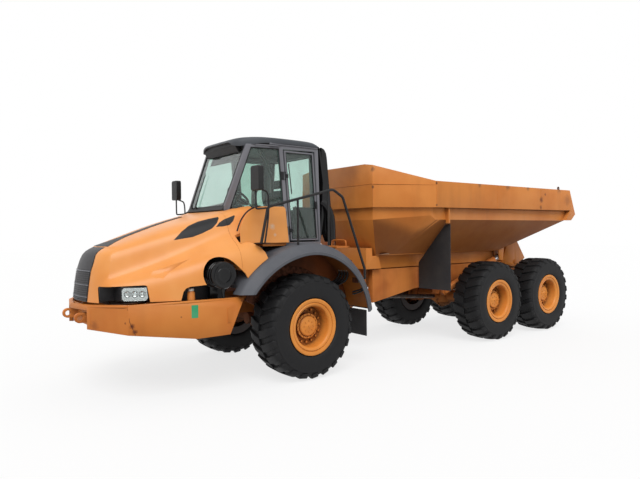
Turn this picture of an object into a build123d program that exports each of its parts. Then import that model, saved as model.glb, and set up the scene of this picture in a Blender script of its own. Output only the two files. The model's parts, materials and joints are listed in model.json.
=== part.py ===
"""Articulated dump truck, modelled at full size as an assembly of separate pieces.

Frame: millimetres, +Z up, +Y towards the tail, +X towards the driver's left.
The origin is on the ground under the middle of the truck.
"""
import os
from math import hypot

from build123d import *

# ---------------------------------------------------------------- driving dimensions
# Overall
TAIL_Y = 5185
BIG = 14000

# Wheels and axles
FRONT_AXLE_Y = -2185
MIDDLE_AXLE_Y = 2365
REAR_AXLE_Y = 4145
AXLE_Z = 770
HALF_TRACK = 1140
TYRE_RADIUS = 770
TYRE_HALF_WIDTH = 300
CROWN_HALF = 262
CROWN_DROP = 22
RIM_FLANGE_RADIUS = 414
RIM_SEAT_RADIUS = 318
RIM_HALF_WIDTH = 280
HUB_RADIUS = 187
SPINDLE_RADIUS = 90
RUNNING_GAP = 0.05
AXLE_TUBE_RADIUS = 120
AXLE_TUBE_HALF = 850
SPINDLE_TIP_X = 1240
DIFFERENTIAL_RADIUS = 230
BRAKE_FLANGE_X = 820
BRAKE_FLANGE_THICK = 40
BRAKE_FLANGE_STEP = 70
PINION_RADIUS = 95
PINION_REACH = 300

# Front frame
RAIL_INNER_X = 330
RAIL_OUTER_X = 400
RAIL_BOTTOM_Z = 930
RAIL_TOP_Z = 1200
RAIL_REAR_Y = -1800
REAR_BOX_Y = -1900
REAR_BOX_HALF = 180
NECK_Y = -1400
FRONT_PLATE_Y = -5000
FRONT_PLATE_THICK = 40
CROSS_MEMBERS_Y = (-4300, -3300)
CROSS_MEMBER_WIDTH = 120
AXLE_POST_X = 365
AXLE_POST_RADIUS = 60
TOW_EAR_X = 300
TOW_EAR_THICK = 50
TOW_HOLE_Y = -5120
TOW_HOLE_Z = 1075
TOW_HOLE_RADIUS = 35
TOW_EAR_RADIUS = 65

# Articulation
PIVOT_Y = -1085
HITCH_Z = 950
PIVOT_PIN_RADIUS = 60
EAR_RADIUS = 170
EAR_THICK = 80
EAR_LOW_Z = 640
EAR_HIGH_Z = 1180
TRUNNION_RADIUS = 150
TRUNNION_END_Y = PIVOT_Y + 775
HITCH_BLOCK_RADIUS = 140
HITCH_BLOCK_LOW = EAR_LOW_Z + EAR_THICK + 10
HITCH_BLOCK_HIGH = EAR_HIGH_Z - 10

# Steering cylinders
STEER_BASE = (340, PIVOT_Y - 880)
STEER_EYE = (300, PIVOT_Y + 60)
STEER_Z = 840
STEER_BARREL_RADIUS = 55
STEER_ROD_RADIUS = 30
STEER_BARREL_REACH = 610
STEER_ROD_LENGTH = 600
STEER_PIN_RADIUS = 28
STEER_EYE_RADIUS = 48
STEER_EAR_HALF = 60
STEER_EAR_THICK = 30
STEER_ARM_GAP = 40
STEER_ARM_RADIUS = 55

# Rear frame
SIDE_PLATE_INNER_X = 470
SIDE_PLATE_OUTER_X = 590
REAR_FRAME_TOP_Z = 1470
REAR_FRAME_FRONT_Y = -245
TIP_HINGE_Y = 4065
TIP_HINGE_Z = 1440
TIP_PIN_RADIUS = 45
BOGIE_Y = (MIDDLE_AXLE_Y + REAR_AXLE_Y) / 2
BOGIE_INNER_X = 616
BOGIE_OUTER_X = 750
BOGIE_HUB_RADIUS = 175
BOGIE_PIVOT_RADIUS = 85
COLLAR_RADIUS = 230
CROSS_TUBE_RADIUS = 90

# Tip cylinders
TIP_CYLINDER_X = 700
TIP_BASE = (1565, 970)
TIP_EYE = (3365, 1580)
TIP_BARREL_RADIUS = 75
TIP_ROD_RADIUS = 45
TIP_BARREL_REACH = 1700
TIP_ROD_LENGTH = 1550
TIP_EYE_RADIUS = 62
TIP_BARREL_EYE_WIDTH = 70
TIP_ROD_EYE_WIDTH = 66
TIP_LUG_THICK = 20

# Dump body
PLATE = 20
FLOOR_Z = 1740
FLOOR_HALF = 800
BAND_Z = 2350
WALL_X = 1350
RAIL_X = 1450
BODY_TOP_Z = 3020
RAIL_LOW_Z = 2560
FRONT_RAIL_TOP_Z = 2950
WALL_FRONT_Y = -555
FLOOR_FRONT_Y = -255
RAIL_FRONT_Y = -605
CORNER_X = 1000
SEAM_Y = 490
RAMP_START_Y = 3215
TAIL_BEAM_Y = 4815
HEADBOARD_TOP_Z = 3300
HEADBOARD_FLAT_X = 800
HEADBOARD_CORNER_Z = 3270
BEAM_INNER_X = 480
BEAM_OUTER_X = 600
BEAM_LOW_Z = 1490
BRACKET_THICK = 40
FLOOR_RIBS_Y = (600, 1500, 2400, 3200)
FLOOR_RIB_THICK = 60
STIFFENER_Y = (840, 880)
SPILL_PLATE = 14
FLAP_Y = 915
FLAP_THICK = 12

# Cab
CAB_HALF = 750
CAB_WALL = 50
CAB_FLOOR_Z = 1910
CAB_TOP_Z = 3474
ROOF_TOP_Z = 3600
CAB_REAR_Y = -1525
WINDSHIELD_LOW = (-3255, 2520)
WINDSHIELD_HIGH = (-2868, 3474)
DOOR_LOW_Z = 2010
DOOR_HIGH_Z = 3420
DOOR_GAP = 12
GLASS = 8
GLASS_INNER_X = 721
WINDSHIELD_HALF = 685
REAR_WINDOW_HALF = 560
REAR_WINDOW_Z = (2520, 3380)
ROOF_OVERHANG = 20
STEERING_WHEEL = (-2640, 2720)
STEERING_WHEEL_RADIUS = 215
COWL_INNER_X = 756
COWL_OUTER_X = 1160
FAIRING_INNER_X = 802
FAIRING_OUTER_X = 1290

# Fenders, hood and bumper
FENDER_TOP_RADIUS = 1220
FENDER_LIP_RADIUS = 1050
FENDER_INNER_X = 800
FENDER_SHOULDER_X = 1380
FENDER_LIP_X = 1470
FENDER_THICK = 25
FENDER_FRONT_Z = 1320
FENDER_REAR_ANGLE = 7
FENDER_SWEEP = 146
HOOD_LOW_Z = 1320
HOOD_SKIN = 30
NOSE = (-5052, 1300)
NOSE_NORMAL = (0, -650, 167)
GRILLE_HALF = 440
GRILLE_MIDDLE = 330
LOUVRE_PITCH = 120
AIR_CLEANER = (-3611, 1600)
AIR_CLEANER_RADIUS = 220
AIR_CLEANER_SPAN = (900, 1290)
AIR_CLEANER_GAP = 40
BUMPER_THICK = 40
BUMPER_LOW_Z = 700
BUMPER_HIGH_Z = 1400

# Rails, mirrors and exhaust
HANDRAIL_X = 1350
HANDRAIL_RADIUS = 20
HANDRAIL_STAY_RADIUS = 16
MIRROR_POST_Y = -3090
MIRROR_POST_RADIUS = 18
EXHAUST = (-1010, -1680)
SILENCER_RADIUS = 105
STACK_RADIUS = 55

LEFT_RIGHT = (1, -1)
WHEEL_PLACES = {
    "front": FRONT_AXLE_Y,
    "middle": MIDDLE_AXLE_Y,
    "rear": REAR_AXLE_Y,
}


# ---------------------------------------------------------------- helpers
def save(part, name):
    """Label a finished piece and write it as its own file."""
    part.label = name
    export_step(part, f"parts/{name}.step")


def mirrored(part):
    """A piece together with its mirror image across the middle plane of the truck."""
    with BuildPart() as pair:
        add(part)
        mirror(about=Plane.YZ)
    return pair.part


def side_slab(outline, x_low, x_high):
    """A flat slab with a (y, z) outline, between two x places."""
    with BuildPart() as slab:
        with BuildSketch(Plane.YZ.offset(x_low)):
            with BuildLine():
                Polyline(*outline, close=True)
            make_face()
        extrude(amount=x_high - x_low)
    return slab.part


def plan_slab(outline, z_low, z_high):
    """A flat slab with an (x, y) outline, between two z places."""
    with BuildPart() as slab:
        with BuildSketch(Plane.XY.offset(z_low)):
            with BuildLine():
                Polyline(*outline, close=True)
            make_face()
        extrude(amount=z_high - z_low)
    return slab.part


def block(x_span, y_span, z_span):
    """A box given by its low and high places along each axis."""
    spans = (x_span, y_span, z_span)
    with BuildPart() as box:
        with Locations(tuple(sum(span) / 2 for span in spans)):
            Box(*(high - low for low, high in spans))
    return box.part


def rod_between(start, end, radius, bore=0):
    """A straight round bar, or a tube if it has a bore, from one point to another."""
    path = Vector(*end) - Vector(*start)
    with BuildPart() as bar:
        with BuildSketch(Plane(origin=start, z_dir=path)):
            Circle(radius)
            if bore:
                Circle(bore, mode=Mode.SUBTRACT)
        extrude(amount=path.length)
    return bar.part


def tube_along(points, radii, radius):
    """A bent round tube whose centre line is straight runs joined by arcs."""
    with BuildPart() as tube:
        with BuildLine() as path:
            FilletPolyline(*points, radius=radii)
        start = Plane(origin=path.line @ 0, z_dir=path.line % 0)
        with BuildSketch(start):
            Circle(radius)
        sweep()
    return tube.part


def inside_planes(planes):
    """A very large solid cut down to the side that every plane's normal points away from."""
    with BuildPart() as region:
        Box(BIG, BIG, BIG)
        for plane in planes:
            split(bisect_by=plane, keep=Keep.BOTTOM)
    return region.part


# ---------------------------------------------------------------- wheels
def tyre(side, axle_y):
    """A tyre as a ring with a hollow inside, open where it sits on its rim."""
    crown_radius = (CROWN_HALF**2 + CROWN_DROP**2) / (2 * CROWN_DROP)
    crown_middle = CROWN_HALF / 2
    crown_r = TYRE_RADIUS - crown_radius + (crown_radius**2 - crown_middle**2) ** 0.5
    centre = Plane(origin=(side * HALF_TRACK, axle_y, AXLE_Z), x_dir=(1, 0, 0), z_dir=(0, -1, 0))
    with BuildPart() as ring:
        with BuildSketch(centre):
            with BuildLine():
                Polyline((215, 318.5), (239, 318.5), (248, 345), (248, 417), (283, 430))
                ThreePointArc((283, 430), (TYRE_HALF_WIDTH, 550), (288, 674))
                Line((288, 674), (CROWN_HALF, TYRE_RADIUS - CROWN_DROP))
                ThreePointArc((CROWN_HALF, TYRE_RADIUS - CROWN_DROP), (crown_middle, crown_r),
                              (0, TYRE_RADIUS))
                Polyline((215, 318.5), (215, 430), (255, 560), (232, 665), (180, 712), (0, 722))
                mirror(about=Plane.YZ)
            make_face()
        revolve(axis=Axis(centre.origin, (1, 0, 0)))
    return ring.part


def rim(side, axle_y):
    """A wheel rim with its recessed disc, planetary hub and blind spindle bore."""
    outward = Plane(origin=(side * HALF_TRACK, axle_y, AXLE_Z), x_dir=(side, 0, 0), z_dir=(0, -side, 0))
    bore = SPINDLE_RADIUS + RUNNING_GAP
    bore_end = SPINDLE_TIP_X - HALF_TRACK + 5
    flange = RIM_FLANGE_RADIUS
    seat = RIM_SEAT_RADIUS
    profile = [
        (bore_end, 0), (155, 0), (155, 175), (143, HUB_RADIUS), (60, 200), (50, 290), (235, 290),
        (RIM_HALF_WIDTH, 330), (RIM_HALF_WIDTH, flange), (255, flange), (250, 345), (240, seat),
        (-240, seat), (-250, 345), (-255, flange), (-275, flange), (-275, 290), (20, 290),
        (10, 200), (-60, 200), (-60, bore), (bore_end, bore),
    ]
    with BuildPart() as wheel:
        with BuildSketch(outward):
            with BuildLine():
                Polyline(*profile, close=True)
            make_face()
        revolve(axis=Axis(outward.origin, (1, 0, 0)))
    return wheel.part


def axle(axle_y, tube_radius):
    """A drive axle: differential housing, tube, brake flanges and wheel spindles."""
    across = Plane(origin=(0, axle_y, AXLE_Z), x_dir=(0, 1, 0), z_dir=(1, 0, 0))
    with BuildPart() as beam:
        for half_length, radius in ((SPINDLE_TIP_X, SPINDLE_RADIUS), (AXLE_TUBE_HALF, tube_radius)):
            with BuildSketch(across):
                Circle(radius)
            extrude(amount=half_length, both=True)
        for side in LEFT_RIGHT:
            with BuildSketch(across.offset(side * BRAKE_FLANGE_X)):
                Circle(tube_radius + BRAKE_FLANGE_STEP)
            extrude(amount=BRAKE_FLANGE_THICK / 2, both=True)
        with Locations((0, axle_y, AXLE_Z)):
            Sphere(DIFFERENTIAL_RADIUS)
        with BuildSketch(Plane(origin=(0, axle_y, AXLE_Z), z_dir=(0, -1, 0))):
            Circle(PINION_RADIUS)
        extrude(amount=PINION_REACH)
    return beam.part


os.makedirs("parts", exist_ok=True)

for place, wheel_y in WHEEL_PLACES.items():
    for side, hand in ((1, "left"), (-1, "right")):
        save(tyre(side, wheel_y), f"tyre_{place}_{hand}")
        save(rim(side, wheel_y), f"rim_{place}_{hand}")

# ---------------------------------------------------------------- front frame
steer_base_ears = [
    plan_slab(
        [(RAIL_INNER_X - 50, STEER_BASE[1] - STEER_EAR_HALF), (RAIL_OUTER_X, STEER_BASE[1] - STEER_EAR_HALF),
         (RAIL_OUTER_X, STEER_BASE[1] + STEER_EAR_HALF),
         (RAIL_INNER_X - 50, STEER_BASE[1] + STEER_EAR_HALF)],
        low, high)
    for low, high in ((STEER_Z - STEER_EAR_HALF - STEER_EAR_THICK, STEER_Z - STEER_EAR_HALF),
                      (STEER_Z + STEER_EAR_HALF, RAIL_BOTTOM_Z + STEER_EAR_THICK))
]
tow_ear_inner = TOW_EAR_X - TOW_EAR_THICK / 2
tow_ear_outer = TOW_EAR_X + TOW_EAR_THICK / 2
with BuildPart() as front_chassis:
    for side in LEFT_RIGHT:
        add(block(sorted((side * RAIL_INNER_X, side * RAIL_OUTER_X)), (FRONT_PLATE_Y, RAIL_REAR_Y),
                  (RAIL_BOTTOM_Z, RAIL_TOP_Z)))
        add(block(sorted((side * tow_ear_inner, side * tow_ear_outer)), (TOW_HOLE_Y, FRONT_PLATE_Y),
                  (TOW_HOLE_Z - TOW_EAR_RADIUS, TOW_HOLE_Z + TOW_EAR_RADIUS)))
        add(rod_between((side * tow_ear_inner, TOW_HOLE_Y, TOW_HOLE_Z),
                        (side * tow_ear_outer, TOW_HOLE_Y, TOW_HOLE_Z), TOW_EAR_RADIUS))
    add(block((-RAIL_OUTER_X - 30, RAIL_OUTER_X + 30), (FRONT_PLATE_Y, FRONT_PLATE_Y + FRONT_PLATE_THICK),
              (RAIL_BOTTOM_Z + 30, RAIL_TOP_Z)))
    for cross_y in CROSS_MEMBERS_Y:
        add(block((-RAIL_INNER_X, RAIL_INNER_X), (cross_y, cross_y + CROSS_MEMBER_WIDTH),
                  (RAIL_BOTTOM_Z + 70, RAIL_TOP_Z - 20)))
    for low_z in (EAR_LOW_Z, EAR_HIGH_Z):
        add(plan_slab([(-RAIL_OUTER_X, REAR_BOX_Y), (RAIL_OUTER_X, REAR_BOX_Y), (RAIL_OUTER_X, RAIL_REAR_Y),
                       (EAR_RADIUS, NECK_Y), (EAR_RADIUS, PIVOT_Y), (-EAR_RADIUS, PIVOT_Y),
                       (-EAR_RADIUS, NECK_Y), (-RAIL_OUTER_X, RAIL_REAR_Y)], low_z, low_z + EAR_THICK))
        add(rod_between((0, PIVOT_Y, low_z), (0, PIVOT_Y, low_z + EAR_THICK), EAR_RADIUS))
    add(block((-REAR_BOX_HALF, REAR_BOX_HALF), (REAR_BOX_Y, NECK_Y + 60),
              (EAR_LOW_Z, EAR_HIGH_Z + EAR_THICK)))
    add(block((-RAIL_OUTER_X, RAIL_OUTER_X), (REAR_BOX_Y, REAR_BOX_Y + 50),
              (RAIL_BOTTOM_Z, EAR_HIGH_Z + EAR_THICK)))
    for ear in steer_base_ears:
        add(ear)
        add(mirror(ear, about=Plane.YZ, mode=Mode.PRIVATE))
    add(rod_between((0, PIVOT_Y, 0), (0, PIVOT_Y, 1500), PIVOT_PIN_RADIUS + RUNNING_GAP), mode=Mode.SUBTRACT)
    for side in LEFT_RIGHT:
        add(rod_between((side * (tow_ear_inner - 50), TOW_HOLE_Y, TOW_HOLE_Z),
                        (side * (tow_ear_outer + 50), TOW_HOLE_Y, TOW_HOLE_Z), TOW_HOLE_RADIUS),
            mode=Mode.SUBTRACT)
        add(rod_between((side * STEER_BASE[0], STEER_BASE[1], STEER_Z - STEER_EAR_HALF - STEER_EAR_THICK),
                        (side * STEER_BASE[0], STEER_BASE[1], STEER_Z + STEER_EAR_HALF + 10),
                        STEER_PIN_RADIUS))
save(front_chassis.part, "front_chassis")

with BuildPart() as front_axle:
    add(axle(FRONT_AXLE_Y, AXLE_TUBE_RADIUS + 10))
    for side in LEFT_RIGHT:
        add(rod_between((side * AXLE_POST_X, FRONT_AXLE_Y, AXLE_Z),
                        (side * AXLE_POST_X, FRONT_AXLE_Y, RAIL_BOTTOM_Z), AXLE_POST_RADIUS))
save(front_axle.part, "front_axle")

with BuildPart() as engine:
    add(block((-310, 310), (-4750, -3480), (RAIL_TOP_Z, 1880)))
    fillet(engine.edges().filter_by(Axis.Y), 40)
save(engine.part, "engine")

# Bumper: outer plan (x, y), side outline (y, z)
bumper_plan = [(0, -5160), (450, -5065), (1020, -4735), (1310, -3265)]
bumper_side = [(-5200, 1240), (-4735, 1270), (-3265, 1290), (-3465, 800), (-3900, 780),
               (-4735, 900), (-5065, 940), (-5200, 950)]
with BuildPart() as bumper:
    with BuildSketch(Plane.XY.offset(BUMPER_LOW_Z)):
        with BuildLine():
            Polyline(*bumper_plan, (1310 - BUMPER_THICK, -3265), (1020 - BUMPER_THICK, -4735 + 25),
                     (435, -5065 + 45), (0, -5160 + 45), close=True)
        make_face()
        mirror(about=Plane.YZ)
    extrude(amount=BUMPER_HIGH_Z - BUMPER_LOW_Z)
    add(side_slab(bumper_side, -1500, 1500), mode=Mode.INTERSECT)
    add(block((-440, 440), (-5300, -4900), (900, 1180)), mode=Mode.SUBTRACT)
    for side in LEFT_RIGHT:
        add(block(sorted((side * 430, side * 500)), (-5040, -4960), (980, 1180)))
        add(block(sorted((side * RAIL_OUTER_X, side * 1275)), (-3500, -3440), (960, 1160)))
save(bumper.part, "bumper")


# Fenders: profile (x, radius) swept about the wheel axis
def arch(profile):
    """A strip with an (x, radius) profile, bent over the front wheel."""
    with BuildPart() as strip:
        with BuildSketch(Plane.XY):
            with BuildLine():
                Polyline(*profile, close=True)
            make_face()
        revolve(axis=Axis.X, revolution_arc=FENDER_SWEEP)
    turned = strip.part.rotate(Axis.X, FENDER_REAR_ANGLE)
    return turned.moved(Location((0, FRONT_AXLE_Y, AXLE_Z)))


fender_profile = [
    (FENDER_INNER_X, FENDER_TOP_RADIUS), (FENDER_SHOULDER_X, FENDER_TOP_RADIUS),
    (FENDER_LIP_X, FENDER_LIP_RADIUS + 40), (FENDER_LIP_X, FENDER_LIP_RADIUS),
    (FENDER_LIP_X - FENDER_THICK, FENDER_LIP_RADIUS),
    (FENDER_SHOULDER_X - 18, FENDER_TOP_RADIUS - FENDER_THICK),
    (FENDER_INNER_X, FENDER_TOP_RADIUS - FENDER_THICK),
]
fender_floor = block((0, 2000), (-4500, FRONT_AXLE_Y), (0, FENDER_FRONT_Z))
with BuildPart() as left_fender:
    add(arch(fender_profile))
    add(fender_floor, mode=Mode.SUBTRACT)
save(mirrored(left_fender.part), "front_fenders")

support_profile = [(770, 860), (795, 860), (795, 1225), (770, 1225)]
with BuildPart() as left_support:
    add(arch(support_profile))
    add(fender_floor, mode=Mode.SUBTRACT)
    add(block((RAIL_INNER_X, 775), (FRONT_AXLE_Y - 60, FRONT_AXLE_Y + 60), (1650, 1760)))
    add(block((RAIL_INNER_X, RAIL_OUTER_X), (FRONT_AXLE_Y - 60, FRONT_AXLE_Y + 60), (RAIL_TOP_Z, 1650)))
save(mirrored(left_support.part), "wheel_house_panels")

with BuildPart() as left_flap:
    add(block((860, 1350), (-1095, -1083), (500, 912)))
save(mirrored(left_flap.part), "front_mud_flaps")

# ---------------------------------------------------------------- hood
# y, (half width, height) at the skirt, belt, shoulder and crown edge
hood_sections = [
    (-5060, (560, HOOD_LOW_Z - 40), (520, 1620), (450, 1860), (400, 1905)),
    (-4800, (800, HOOD_LOW_Z - 40), (640, 1680), (520, 1930), (420, 1980)),
    (-4300, (1080, HOOD_LOW_Z - 40), (880, 1760), (700, 2100), (560, 2170)),
    (-3300, (1290, HOOD_LOW_Z - 40), (1130, 1830), (860, 2370), (700, 2445)),
]


def hood_block(inset):
    """The hood's outer or inner shape, a ruled loft shrunk by an inset."""
    with BuildPart() as shape:
        for section_y, *half in hood_sections:
            right = [(x - inset, z - inset) for x, z in half]
            right[0] = (right[0][0], HOOD_LOW_Z - 40)
            left = [(-x, z) for x, z in reversed(right)]
            with BuildSketch(Plane(origin=(0, section_y, 0), x_dir=(1, 0, 0), z_dir=(0, -1, 0))):
                with BuildLine():
                    Polyline(*right, *left, close=True)
                make_face()
        loft(ruled=True)
    return shape.part


nose_plane = Plane(origin=(0, *NOSE), z_dir=NOSE_NORMAL)
wheel_clearance = rod_between((-2000, FRONT_AXLE_Y, AXLE_Z), (2000, FRONT_AXLE_Y, AXLE_Z),
                              FENDER_TOP_RADIUS + 20)
hood_core = hood_block(HOOD_SKIN)
with BuildPart() as hood:
    add(hood_block(0))
    split(bisect_by=nose_plane, keep=Keep.BOTTOM)
    add(hood_core, mode=Mode.SUBTRACT)
    add(block((-1500, 1500), (-5300, -3000), (0, HOOD_LOW_Z)), mode=Mode.SUBTRACT)
    add(wheel_clearance, mode=Mode.SUBTRACT)
    cleaner_y, cleaner_z = AIR_CLEANER
    cleaner_gap = AIR_CLEANER_RADIUS + AIR_CLEANER_GAP
    add(rod_between((500, cleaner_y, cleaner_z), (1500, cleaner_y, cleaner_z), cleaner_gap),
        mode=Mode.SUBTRACT)
    add(block((500, 1500), (cleaner_y - cleaner_gap, cleaner_y + cleaner_gap), (1000, cleaner_z)),
        mode=Mode.SUBTRACT)
    for side in LEFT_RIGHT:
        add(block(sorted((side * 560, side * 1300)), (-4900, -4460), (1000, 1510)), mode=Mode.SUBTRACT)
save(hood.part, "hood")

# Grille: a slatted panel on the hood's sloping nose
nose_face = Plane(origin=(0, NOSE[0] - 2, NOSE[1] - 10), x_dir=(1, 0, 0), z_dir=NOSE_NORMAL)
with BuildPart() as grille:
    with BuildSketch(nose_face):
        with Locations((0, GRILLE_MIDDLE)):
            RectangleRounded(2 * GRILLE_HALF, 560, 30)
        with Locations(*((0, GRILLE_MIDDLE + LOUVRE_PITCH * row) for row in range(-2, 3))):
            Rectangle(2 * GRILLE_HALF - 60, 70, mode=Mode.SUBTRACT)
    extrude(amount=12)
    with BuildSketch(nose_face):
        with Locations((0, GRILLE_MIDDLE)):
            Rectangle(2 * GRILLE_HALF - 40, 540)
    extrude(amount=3)
save(grille.part, "grille")

with BuildPart() as left_headlight:
    add(side_slab([(-4890, 1335), (-4470, 1335), (-4470, 1500), (-4890, 1500)], 560, 700))
    add(side_slab([(-4740, 1345), (-4490, 1345), (-4490, 1490), (-4740, 1490)], 700, 850))
save(mirrored(left_headlight.part), "headlights")

# ---------------------------------------------------------------- cab
cab_outer = [(-2960, CAB_FLOOR_Z), (CAB_REAR_Y, CAB_FLOOR_Z), (-1568, CAB_TOP_Z), WINDSHIELD_HIGH,
             WINDSHIELD_LOW, (-3255, 2440), (-3010, 2300)]
cab_inner = [(-2910, 1800), (-1575, 1800), (-1622, 3600), (-2763, 3600), (-3205, 2510),
             (-3205, 2470), (-2960, 2330)]
front_window = [(-3110, 2580), (-2250, 2580), (-2322, 3400), (-2810, 3400)]
door_outline = [(-2120, DOOR_LOW_Z), (-1560, DOOR_LOW_Z), (-1650, DOOR_HIGH_Z), (-2235, DOOR_HIGH_Z)]
door_window_outline = [(-2058, 2090), (-1622, 2090), (-1706, 3350), (-2166, 3350)]
windshield_plane = Plane(
    origin=(0, *WINDSHIELD_LOW), x_dir=(1, 0, 0),
    z_dir=(0, WINDSHIELD_LOW[1] - WINDSHIELD_HIGH[1], WINDSHIELD_HIGH[0] - WINDSHIELD_LOW[0]))
windshield_rise = hypot(WINDSHIELD_HIGH[0] - WINDSHIELD_LOW[0], WINDSHIELD_HIGH[1] - WINDSHIELD_LOW[1])


def windshield_slab(z_from, thickness, shrink=0):
    """A slab over the windshield opening, measured inwards from the cab's outer face."""
    with BuildPart() as slab:
        with BuildSketch(windshield_plane.offset(-z_from)):
            with Locations((0, windshield_rise / 2 + 10)):
                Rectangle(2 * (WINDSHIELD_HALF - shrink), windshield_rise - 90 - 2 * shrink)
        extrude(amount=-thickness)
    return slab.part


with BuildPart() as cab_frame:
    add(side_slab(cab_outer, -CAB_HALF, CAB_HALF))
    add(side_slab(cab_inner, CAB_WALL - CAB_HALF, CAB_HALF - CAB_WALL), mode=Mode.SUBTRACT)
    add(windshield_slab(-100, 250), mode=Mode.SUBTRACT)
    add(side_slab(front_window, -1000, 1000), mode=Mode.SUBTRACT)
    with BuildSketch(Plane.YZ.offset(CAB_HALF - 100)):
        with BuildLine():
            Polyline(*door_outline, close=True)
        make_face()
        offset(amount=DOOR_GAP, kind=Kind.INTERSECTION)
    extrude(amount=200, mode=Mode.SUBTRACT)
    add(side_slab(door_window_outline, -1000, 0), mode=Mode.SUBTRACT)
    add(block((-REAR_WINDOW_HALF, REAR_WINDOW_HALF), (-1700, -1400), REAR_WINDOW_Z), mode=Mode.SUBTRACT)
save(cab_frame.part, "cab_frame")

with BuildPart() as cab_floor:
    add(block((-CAB_HALF, CAB_HALF), (-2960, CAB_REAR_Y), (CAB_FLOOR_Z - 50, CAB_FLOOR_Z)))
    for side in LEFT_RIGHT:
        for mount_y, inner_x, foot_z in ((-2860, 300, RAIL_TOP_Z), (-1640, 190, EAR_HIGH_Z + EAR_THICK)):
            add(block(sorted((side * inner_x, side * (inner_x + 100))), (mount_y - 50, mount_y + 50),
                      (foot_z, CAB_FLOOR_Z)))
save(cab_floor.part, "cab_floor")

roof_outline = [(-2868, CAB_TOP_Z), (-1568, CAB_TOP_Z), (-1535, 3530), (-1700, 3572), (-2150, 3597),
                (-2605, ROOF_TOP_Z), (-2860, 3575), (-3035, 3515), (-3040, 3480)]
with BuildPart() as cab_roof:
    add(side_slab(roof_outline, -CAB_HALF - ROOF_OVERHANG, CAB_HALF + ROOF_OVERHANG))
    top_edges = cab_roof.edges().filter_by(lambda edge: abs(edge.center().X) > CAB_HALF
                                           and edge.center().Z > 3535)
    chamfer(top_edges, 25)
save(cab_roof.part, "cab_roof")

with BuildPart() as cab_windows:
    add(windshield_slab(20, GLASS, 1))
    for side in LEFT_RIGHT:
        add(side_slab(front_window, *sorted((side * GLASS_INNER_X, side * (GLASS_INNER_X + GLASS)))))
    add(side_slab(door_window_outline, -GLASS_INNER_X - GLASS, -GLASS_INNER_X))
    add(block((-REAR_WINDOW_HALF, REAR_WINDOW_HALF), (-1574 - GLASS, -1574), REAR_WINDOW_Z))
save(cab_windows.part, "cab_windows")

with BuildPart() as cab_door:
    add(side_slab(door_outline, CAB_HALF - CAB_WALL, CAB_HALF))
    add(side_slab(door_window_outline, 0, 1000), mode=Mode.SUBTRACT)
save(cab_door.part, "cab_door")
save(side_slab(door_window_outline, GLASS_INNER_X, GLASS_INNER_X + GLASS), "door_window")

with BuildPart() as cab_seat:
    add(block((-200, 200), (-2180, -1900), (CAB_FLOOR_Z, 2260)))
    add(side_slab([(-2330, 2260), (-1860, 2260), (-1790, 3020), (-1880, 3030), (-1960, 2420),
                   (-2330, 2400)], -260, 260))
    fillet(cab_seat.edges().filter_by(Axis.X).group_by(Axis.Z)[-1], 4)
save(cab_seat.part, "cab_seat")

with BuildPart() as cab_controls:
    add(side_slab([(-2905, CAB_FLOOR_Z), (-2780, CAB_FLOOR_Z), (-2820, 2480), (-3150, 2480),
                   (-2948, 2345)], -620, 620))
    add(rod_between((0, -2850, 2440), (0, *STEERING_WHEEL), 30))
    with BuildSketch(Plane(origin=(0, *STEERING_WHEEL), z_dir=(0, 210, 280))):
        Circle(STEERING_WHEEL_RADIUS)
        Circle(STEERING_WHEEL_RADIUS - 30, mode=Mode.SUBTRACT)
        Rectangle(380, 34)
    extrude(amount=30)
save(cab_controls.part, "cab_controls")

# Side cowls beside the cab, each with a fairing over the front of its fender
cowl_outline = [(-3235, 2000), (-2425, 2000), (-2445, 2500), (-2900, 2500), (-3110, 2430), (-3235, 2240)]
fairing_outline = [(-3285, 1330), (-2850, 1330), (-2850, 2000), (-3285, 2000)]
with BuildPart() as left_cowl:
    add(side_slab(cowl_outline, COWL_INNER_X, COWL_OUTER_X))
    add(side_slab(fairing_outline, FAIRING_INNER_X, FAIRING_OUTER_X))
    add(rod_between((-2000, FRONT_AXLE_Y, AXLE_Z), (2000, FRONT_AXLE_Y, AXLE_Z), FENDER_TOP_RADIUS + 5),
        mode=Mode.SUBTRACT)
    add(block((FAIRING_INNER_X, 1000), (-2760, -2640), (1905, 2000)))
save(mirrored(left_cowl.part), "side_cowls")

with BuildPart() as air_cleaner:
    add(rod_between((AIR_CLEANER_SPAN[0], *AIR_CLEANER), (AIR_CLEANER_SPAN[1], *AIR_CLEANER),
                    AIR_CLEANER_RADIUS))
    fillet(air_cleaner.edges().filter_by(GeomType.CIRCLE).group_by(Axis.X)[-1], 30)
    add(block((RAIL_OUTER_X, 960), (AIR_CLEANER[0] - 60, AIR_CLEANER[0] + 60), (1150, 1199)))
    add(block((900, 960), (AIR_CLEANER[0] - 60, AIR_CLEANER[0] + 60), (1150, 1450)))
save(air_cleaner.part, "air_cleaner")

# ---------------------------------------------------------------- rails, mirrors and exhaust
with BuildPart() as left_handrail:
    add(tube_along([(HANDRAIL_X, -3020, 2000), (HANDRAIL_X, -2905, 2506), (HANDRAIL_X, -1750, 2790),
                    (HANDRAIL_X, -1560, 2680), (HANDRAIL_X, -1120, 1560), (HANDRAIL_X, -1120, 1402)],
                   [80, 120, 90, 100], HANDRAIL_RADIUS))
    for stay_y, stay_low, stay_high in ((-2400, 1975, 2638), (-1840, 1946, 2760)):
        add(rod_between((HANDRAIL_X, stay_y, stay_low), (HANDRAIL_X, stay_y, stay_high),
                        HANDRAIL_STAY_RADIUS))
    add(block((1250, 1400), (-3060, -2980), (2000, 2012)))
save(mirrored(left_handrail.part), "handrails")

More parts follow.
